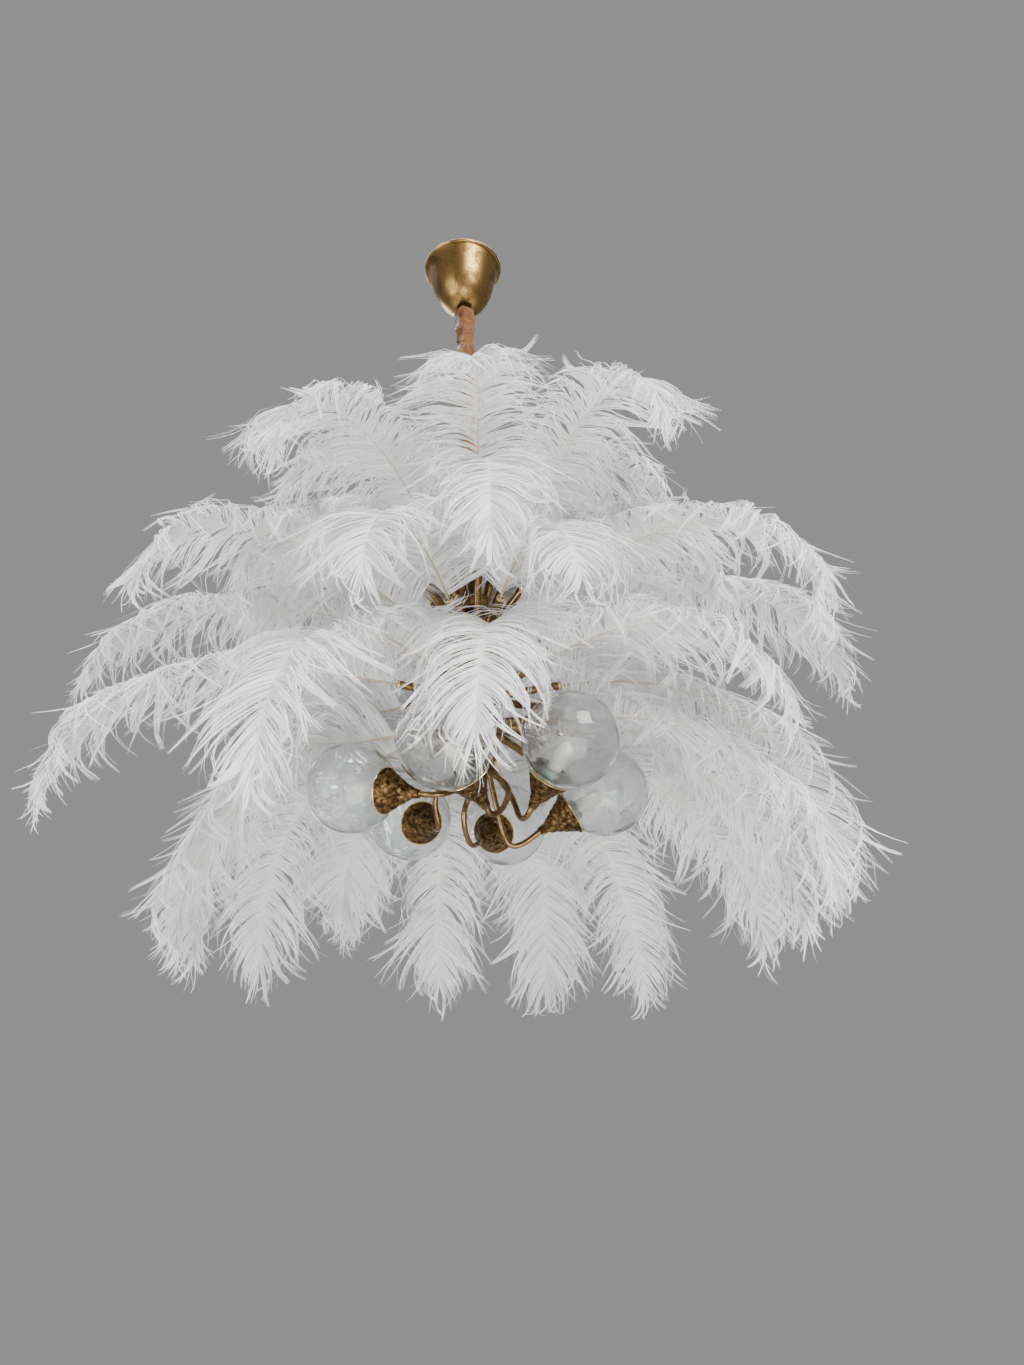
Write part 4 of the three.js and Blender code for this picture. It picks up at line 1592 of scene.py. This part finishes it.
    def ribbons(self, shape: Shape, barbs: Barbs, path: np.ndarray) -> None:
        """Adds the barbs as tapered, slightly twisted ribbons.

        Args:
            shape: The shape that they are added to.
            barbs: The barbs.
            path: A row of points for each barb.
        """
        count, stops = path.shape[:2]
        places = self.places
        ways = unit(np.gradient(path, axis=1))
        along = barbs.along[:, None]
        flat = unit(along - ways * (along * ways).sum(-1, keepdims=True))
        facing = np.cross(ways, flat)
        twist = (0.9 * (barbs.own[:, 5] - 0.5) + 0.5 * (barbs.kind[:, 2] - 0.5))[:, None, None]
        twist = twist * (1 + places[None, :, None])
        flat = flat * np.cos(twist) + facing * np.sin(twist)
        taper = (0.75 + 0.25 * np.sin(math.pi * np.minimum(1, places * 1.6))) * (1 - 0.88 * places**2.2)
        half = flat * (self.barb_width / 2 * taper)[None, :, None]
        ribbon = np.stack([path - half, path + half], 2)
        index = np.arange(count * stops * 2).reshape(count, stops, 2)
        corners = [index[:, :-1, 0], index[:, :-1, 1], index[:, 1:, 1], index[:, 1:, 0]]
        wide = 0.45 / (count // 2)
        u = barbs.share[:, None, None] * SHARE_STRIP[1] + SHARE_STRIP[0]
        u = u + np.array([-wide, wide])[None, None, :] + np.zeros((1, stops, 1))
        out = BARB_STRIP[0] + BARB_STRIP[1] * places[None, :, None]
        v = BARB_MIDDLE + barbs.side[:, :, None] * out + np.zeros((1, 1, 2))
        uv = np.stack([u, v], -1).reshape(-1, 2)
        shape.add(ribbon.reshape(-1, 3), np.stack(corners, -1).reshape(-1, 4), uv)

    def build(self) -> None:
        """Builds each plume as one piece."""
        materials = [Finish.DOWN.material(), Finish.QUILL.material()]
        for number, ring in enumerate(RINGS, 1):
            for index, bend in enumerate(ring.bends):
                shape = Shape()
                points, slope, azimuth = self.spine(ring, index, bend)
                self.quill(shape, ring, index, points)
                length, seed = bend.share * self.longest, 100 * number + index
                barbs = self.barbs(points, slope, azimuth, length, seed)
                self.ribbons(shape, barbs, self.gathered(barbs, self.paths(barbs)))
                piece = shape.build(f"plume_{number}_{index + 1}", materials, 180.0)
                fitted(piece, "hanging_frame", "plume", *([bend.node] if bend.node else []))


# ---- Lamps ----
@dataclass(frozen=True)
class LampPlace:
    """Where one lamp sits and how its arm gets there."""

    name: str
    azimuth: float
    out: float
    below: float
    aim: float
    tilt: float
    bow: tuple[float, float, float]
    reach: float


LAMPS = (
    LampPlace("1", -68, 2.21, 2 * MM, -115, 15, (-27 * MM, -58 * MM, -63 * MM), 24 * MM),
    LampPlace("2", -8, 2.13, 12 * MM, -35, 38, (33 * MM, -50 * MM, -63 * MM), 16 * MM),
    LampPlace("3", 37, 2.35, 11 * MM, 35, 36, (34 * MM, -18 * MM, -57 * MM), 22 * MM),
    LampPlace("4", 103, 2.04, 15 * MM, 82, 28, (20 * MM, 22 * MM, -73 * MM), 42 * MM),
    LampPlace("5", 173, 2.02, 11 * MM, 157, 27, (-24 * MM, 4 * MM, -73 * MM), 38 * MM),
    LampPlace("6", -139, 2.22, 0 * MM, -157, 23, (-58 * MM, 4 * MM, -45 * MM), 30 * MM),
)


@dataclass
class Lamps:
    """The swan-neck arms with their cups, lampholders, bulbs and globes."""

    hub_foot: float = -822.6 * MM
    root_radius: float = 14.5 * MM
    root_first: float = -45.0
    drop: float = 20 * MM
    arm_radius: float = 3.5 * MM
    arm_ease: int = 130
    cup_radius: float = 28 * MM
    cup_neck: float = 6 * MM
    cup_length: float = 42 * MM
    cup_wall: float = 1.8 * MM
    cup_flare: float = 1.25
    cup_sides: int = 120
    cup_steps: int = 64
    hammering: float = 1.15 * MM
    broad_pits: float = 8.5 * MM
    fine_pits: float = 4.6 * MM
    collar_length: float = 4 * MM
    collar_radius: float = 5.4 * MM
    floor: float = 5 * MM
    insert: float = 6 * MM
    holder_radius: float = 9.52 * MM
    holder_recess: float = 7.82 * MM
    holder_top: float = 2 * MM
    holder_bottom: float = -25.2 * MM
    recess_depth: float = 8 * MM
    bulb_base: float = 7.42 * MM
    bulb_radius: float = 8.62 * MM
    bulb_length: float = 50 * MM
    base_length: float = 13 * MM
    globe_radius: float = 55 * MM
    globe_wall: float = 2.4 * MM
    globe_sides: int = 96
    globe_steps: int = 56
    uneven_scale: float = 45 * MM
    globe_lift: float = 60 * MM
    plume_clear: float = 4.5 * MM
    neck_bore: float = 10.42 * MM
    neck_wall: float = 2.6 * MM
    neck_length: float = 14 * MM
    gap: float = 0.3 * MM

    @property
    def globe_centre(self) -> float:
        """How far the globe's middle is past the cup's rim."""
        seat = self.cup_radius - self.cup_wall - self.gap
        return math.sqrt(self.globe_radius**2 - seat**2)

    def axis(self, lamp: LampPlace) -> np.ndarray:
        """Gives the direction that a lamp aims in."""
        return pointing(lamp.aim, np.float64(lamp.tilt))

    def rim(self, lamp: LampPlace) -> np.ndarray:
        """Gives the middle of a lamp's cup rim."""
        rim = heading(lamp.azimuth) * lamp.out * self.globe_radius
        rim[2] = self.hub_foot - self.globe_radius - lamp.below
        return rim

    def clearances(self) -> list[tuple[np.ndarray, np.ndarray, float]]:
        """Gives where each globe's middle sits and lifts to, and the radius that plumes keep clear of."""
        rests = [self.rim(lamp) + self.axis(lamp) * self.globe_centre for lamp in LAMPS]
        lifts = [self.axis(lamp) * self.globe_lift for lamp in LAMPS]
        return [(rest, rest + lift, self.globe_radius + self.plume_clear) for rest, lift in zip(rests, lifts)]

    def arm(self, lamp: LampPlace, index: int) -> None:
        """Builds one arm with a small flange under the hub.

        Args:
            lamp: The lamp that it carries.
            index: Which of the hub's roots it leaves.
        """
        axis = self.axis(lamp)
        collar = self.rim(lamp) - axis * (self.cup_length + self.collar_length)
        root = heading(self.root_first + 60 * index) * self.root_radius
        root[2] = self.hub_foot - self.gap
        knots = np.array(
            [
                root,
                root - (0, 0, self.drop),
                (lamp.bow[0], lamp.bow[1], self.hub_foot + lamp.bow[2]),
                collar - axis * lamp.reach,
                collar,
                collar + axis * self.insert,
            ]
        )
        path = relaxed(centripetal(knots, 40), 1.5 * MM, self.arm_ease)
        shape = Shape()
        shape.loft(swept(path, np.full(len(path), self.arm_radius), 28))
        flange = [
            (self.arm_radius - 0.4 * MM, -2.4 * MM),
            (self.arm_radius + 0.4 * MM, -2.4 * MM),
            (self.arm_radius + 1.5 * MM, -1.4 * MM),
            (self.arm_radius + 1.5 * MM, 0.0),
            (self.arm_radius - 0.4 * MM, 0.0),
        ]
        shape.turned(flange, 40, closed=True, place=lambda points: points + root)
        piece = shape.build(f"swan_neck_{lamp.name}", [Finish.ARM_BRASS.material()])
        fitted(piece, "hanging_frame", "antique_brass", f"arm_{lamp.name}")

    def cup_outline(self, height: np.ndarray) -> np.ndarray:
        """Gives the cup's outer radius at heights from its foot up to its rim."""
        share = (height + self.cup_length) / self.cup_length
        return self.cup_neck + (self.cup_radius - self.cup_neck) * share**self.cup_flare

    def cup(self, lamp: LampPlace) -> None:
        """Builds one cast cup with hammered pits, a smooth rim and a turned foot.

        Args:
            lamp: The lamp that it belongs to.
        """
        angle = np.linspace(0.0, 2.0 * math.pi, self.cup_sides, endpoint=False)[None, :]
        z = np.linspace(-self.cup_length, 0.0, self.cup_steps)[:, None]
        radius = self.cup_outline(z)
        plain = wrapped(radius, angle, z)
        seed = 10 * int(lamp.name)
        pits = 0.55 * waves(plain, self.broad_pits, seed) + 0.45 * waves(plain, self.fine_pits, seed + 1)
        mask = eased(z, 0.0, -2.2 * MM) * eased(z, -self.cup_length, -self.cup_length + 3 * MM)
        radius = radius - mask * self.hammering * (0.5 + pits)
        outside = wrapped(radius, angle, z)
        floor = -self.cup_length + self.floor
        inner_z = np.linspace(0.0, floor, 24)[:, None]
        inside = wrapped(self.cup_outline(inner_z) - self.cup_wall, angle, inner_z)
        bore = self.arm_radius + self.gap
        foot_profile = np.array(
            [
                (bore, floor),
                (bore, -self.cup_length - self.collar_length),
                (self.collar_radius - 0.5 * MM, -self.cup_length - self.collar_length),
                (self.collar_radius, -self.cup_length - self.collar_length + 0.5 * MM),
                (self.collar_radius, -self.cup_length - 1.4 * MM),
                (self.collar_radius - 0.6 * MM, -self.cup_length - 1.0 * MM),
            ]
        )
        foot = wrapped(foot_profile[:, :1], angle, foot_profile[:, 1:])
        place = placed_at(self.rim(lamp), self.axis(lamp))
        shape = Shape()
        shape.loft(place(np.concatenate([outside, inside, foot])), closed=True)
        lip = [
            (self.cup_radius - self.cup_wall, -0.9 * MM),
            (self.cup_radius + 0.15 * MM, -0.9 * MM),
            (self.cup_radius + 0.5 * MM, -0.4 * MM),
            (self.cup_radius + 0.15 * MM, 0.1 * MM),
            (self.cup_radius - self.cup_wall, 0.1 * MM),
        ]
        shape.turned(lip, self.cup_sides, closed=True, slot=1, place=place)
        materials = [Finish.CAST.material(), Finish.BRIGHT_BRASS.material()]
        piece = shape.build(f"cast_cup_{lamp.name}", materials, 50.0)
        fitted(piece, "hanging_frame", "cast_brass", f"cup_{lamp.name}")

    def holder(self, lamp: LampPlace) -> None:
        """Builds one lampholder with a stepped ceramic body and a recess for the bulb.

        Args:
            lamp: The lamp that it belongs to.
        """
        top, bottom, radius = self.holder_top, self.holder_bottom, self.holder_radius
        stem = -self.cup_length - self.collar_length + self.insert + self.gap
        profile = [
            (0.3 * MM, stem),
            (3.2 * MM, stem),
            (3.2 * MM, bottom),
            (radius - 0.8 * MM, bottom),
            (radius, bottom + 0.8 * MM),
            (radius, bottom + 10 * MM),
            (radius - 0.7 * MM, bottom + 10.6 * MM),
            (radius - 0.7 * MM, bottom + 12 * MM),
            (radius, bottom + 12.6 * MM),
            (radius, top - 0.5 * MM),
            (radius - 0.5 * MM, top),
            (self.holder_recess, top),
            (self.holder_recess, top - self.recess_depth),
            (0.3 * MM, top - self.recess_depth),
        ]
        shape = Shape()
        shape.turned(profile, 56, place=placed_at(self.rim(lamp), self.axis(lamp)))
        piece = shape.build(f"holder_{lamp.name}", [Finish.CERAMIC.material()])
        fitted(piece, "hanging_frame", "lampholder", f"lampholder_{lamp.name}")

    def bulb(self, lamp: LampPlace) -> None:
        """Builds one capsule bulb with a ceramic base.

        Args:
            lamp: The lamp that it belongs to.
        """
        bottom = self.holder_top - self.recess_depth + self.gap
        base_top, top, radius = bottom + self.base_length, bottom + self.bulb_length, self.bulb_radius
        turn = np.radians(np.linspace(0, 88, 14))
        dome = [(radius * math.cos(a), top - radius + radius * math.sin(a)) for a in turn]
        glass = [
            (self.bulb_base - 1.2 * MM, base_top - 2 * MM),
            (self.bulb_base - 0.6 * MM, base_top),
            (radius - 0.8 * MM, base_top + 1.6 * MM),
            (radius, base_top + 3.6 * MM),
            *dome,
        ]
        base = [
            (0.3 * MM, bottom),
            (self.bulb_base - 0.5 * MM, bottom),
            (self.bulb_base, bottom + 0.5 * MM),
            (self.bulb_base, base_top - 1 * MM),
            (self.bulb_base - 0.8 * MM, base_top),
            (0.3 * MM, base_top),
        ]
        place = placed_at(self.rim(lamp), self.axis(lamp))
        shape = Shape()
        shape.turned(glass, 48, slot=0, place=place)
        shape.turned(base, 48, slot=1, place=place)
        piece = shape.build(f"capsule_{lamp.name}", [Finish.BULB.material(), Finish.CERAMIC.material()])
        fitted(piece, f"lamp_bulb_{lamp.name}", "frosted_bulb", f"bulb_{lamp.name}")

    def globe(self, lamp: LampPlace) -> None:
        """Builds one blown globe with uneven walls and a thick neck.

        Args:
            lamp: The lamp that it belongs to.
        """
        sides = self.globe_sides
        neck = self.neck_bore + self.neck_wall
        angle = np.linspace(0.0, 2.0 * math.pi, sides, endpoint=False)[None, :]
        loops = []
        inner = self.globe_radius - self.globe_wall
        for radius, seed, swell in ((self.globe_radius, 5, 0.35 * MM), (inner, 6, 0.3 * MM)):
            mouth = math.asin(neck / radius)
            turn = np.linspace(mouth, math.pi - 0.01, self.globe_steps)[:, None]
            ball = wrapped(np.sin(turn), angle, -np.cos(turn))
            uneven = waves(ball * self.globe_radius, self.uneven_scale, seed + 20 * int(lamp.name))[..., None]
            fade = eased(turn, mouth, mouth + 0.3)[..., None]
            loops.append(ball * (radius - swell * fade * np.abs(uneven)) + (0, 0, self.globe_centre))
        outside, inside = loops
        place = placed_at(self.rim(lamp), self.axis(lamp))
        shape = Shape()
        shape.loft(place(outside), capped=False)
        shape.loft(place(inside[:, ::-1]), capped=False)
        top_out, top_in = outside[-1], inside[-1]
        for ring, flip in ((top_out, False), (top_in[::-1], False)):
            fan = np.vstack([ring, ring.mean(0)])
            corners = np.arange(sides)
            faces = np.stack([corners, np.roll(corners, -1), np.full(sides, sides)], -1)
            shape.add(place(fan), faces)
        low = self.globe_centre - self.globe_radius * math.cos(math.asin(neck / self.globe_radius))
        high = low + self.neck_length
        bore = self.neck_bore
        neck_profile = [
            (bore, low + 0.4 * MM),
            (bore + 0.6 * MM, low - 0.2 * MM),
            (neck - 0.4 * MM, low - 0.2 * MM),
            (neck + 0.3 * MM, low + 0.6 * MM),
            (neck + 0.5 * MM, low + 3 * MM),
            (neck + 0.2 * MM, high - 1.2 * MM),
            (neck - 0.9 * MM, high),
            (bore + 0.8 * MM, high),
            (bore, high - 1 * MM),
        ]
        shape.turned(neck_profile, sides, closed=True, slot=1, place=place)
        materials = [Finish.GLASS.material(), Finish.NECK_GLASS.material()]
        piece = shape.build(f"blown_globe_{lamp.name}", materials)
        fitted(piece, f"lamp_globe_{lamp.name}", "clear_glass", f"globe_{lamp.name}")

    def build(self) -> None:
        """Builds all the lamps."""
        for index, lamp in enumerate(LAMPS):
            self.arm(lamp, index)
            self.cup(lamp)
            self.holder(lamp)
            self.bulb(lamp)
            self.globe(lamp)


# ---- Studio ----
@dataclass(frozen=True)
class SoftBox:
    """A square soft light that isn't seen itself."""

    name: str
    place: tuple[float, float, float]
    size: float
    watts: float
    colour: Colour = (1.0, 1.0, 1.0)

    def build(self, target: Vector) -> None:
        """Makes the light, aimed at a target."""
        lamp = bpy.data.lights.new(self.name, "AREA")
        lamp.shape = "SQUARE"
        lamp.size = self.size
        lamp.energy = self.watts
        lamp.color = self.colour
        piece = bpy.data.objects.new(self.name, lamp)
        piece.location = self.place
        piece.rotation_mode = "QUATERNION"
        piece.rotation_quaternion = (target - Vector(self.place)).to_track_quat("-Z", "Y")
        piece.visible_camera = False
        bpy.context.scene.collection.objects.link(piece)


@dataclass
class Studio:
    """The pale floor, the soft lights and the camera."""

    floor_height: float = -2.9
    floor_half: float = 6.0
    backdrop: float = 0.3
    target: tuple[float, float, float] = (0.0, 0.0, -0.72)
    eye: tuple[float, float, float] = (0.0, -1.191, -1.28)
    yaw: float = 2.1
    pitch: float = 25.0
    roll: float = 3.0
    lens: float = 27.03
    boxes: tuple[SoftBox, ...] = (
        SoftBox("key_light", (1.5, -2.4, 0.7), 1.5, 165.0, (1.0, 0.985, 0.96)),
        SoftBox("fill_light", (-2.3, -1.9, -1.2), 2.2, 85.0, (0.95, 0.98, 1.0)),
        SoftBox("low_light", (0.3, -1.6, -2.1), 1.6, 38.0),
        SoftBox("top_light", (-0.2, 0.4, 1.5), 1.8, 95.0),
        SoftBox("back_light", (-1.2, 2.6, 0.1), 1.8, 70.0),
    )

    def floor(self) -> None:
        """Makes the floor."""
        half, z = self.floor_half, self.floor_height
        shape = Shape()
        corners = np.array([(-half, -half, z), (half, -half, z), (half, half, z), (-half, half, z)])
        shape.add(corners, np.array([[0, 1, 2, 3]]))
        floor = shape.build("studio_floor", [Finish.FLOOR.material()])

    def world(self) -> None:
        """Gives the world an even grey light."""
        world = bpy.data.worlds.new("studio_world")
        world.use_nodes = True
        background = world.node_tree.nodes["Background"]
        background.inputs["Color"].default_value = (self.backdrop, self.backdrop, self.backdrop, 1.0)
        background.inputs["Strength"].default_value = 1.0
        bpy.context.scene.world = world

    def camera(self) -> None:
        """Makes the camera, below the front of the chandelier and looking up at it."""
        yaw, pitch, roll = (math.radians(a) for a in (self.yaw, self.pitch, self.roll))
        ahead = Vector((math.sin(yaw) * math.cos(pitch), math.cos(yaw) * math.cos(pitch), math.sin(pitch)))
        level = Vector((math.cos(yaw), -math.sin(yaw), 0.0))
        upright = level.cross(ahead)
        right = level * math.cos(roll) - upright * math.sin(roll)
        up = level * math.sin(roll) + upright * math.cos(roll)
        data = bpy.data.cameras.new("main_camera")
        data.sensor_width = 36.0
        data.lens = self.lens
        data.clip_start = 0.01
        eye = bpy.data.objects.new("main_camera", data)
        eye.matrix_world = Matrix.Translation(self.eye) @ Matrix((right, up, -ahead)).transposed().to_4x4()
        bpy.context.scene.collection.objects.link(eye)
        bpy.context.scene.camera = eye

    def build(self) -> None:
        """Makes the whole studio."""
        self.floor()
        self.world()
        for box in self.boxes:
            box.build(Vector(self.target))
        self.camera()
        LOG.info("built the studio with %d lights", len(self.boxes))


def main() -> None:
    """Builds the studio and every sub-assembly in order."""
    logging.basicConfig(level=logging.INFO, format="%(name)s: %(message)s")
    Studio().build()
    CeilingFixing().build()
    Suspension().build()
    Column().build()
    lamps = Lamps()
    lamps.build()
    rings = PlumeRings()
    rings.build()
    Plumage(rings, clearances=lamps.clearances()).build()


if __name__ == "__main__":
    main()
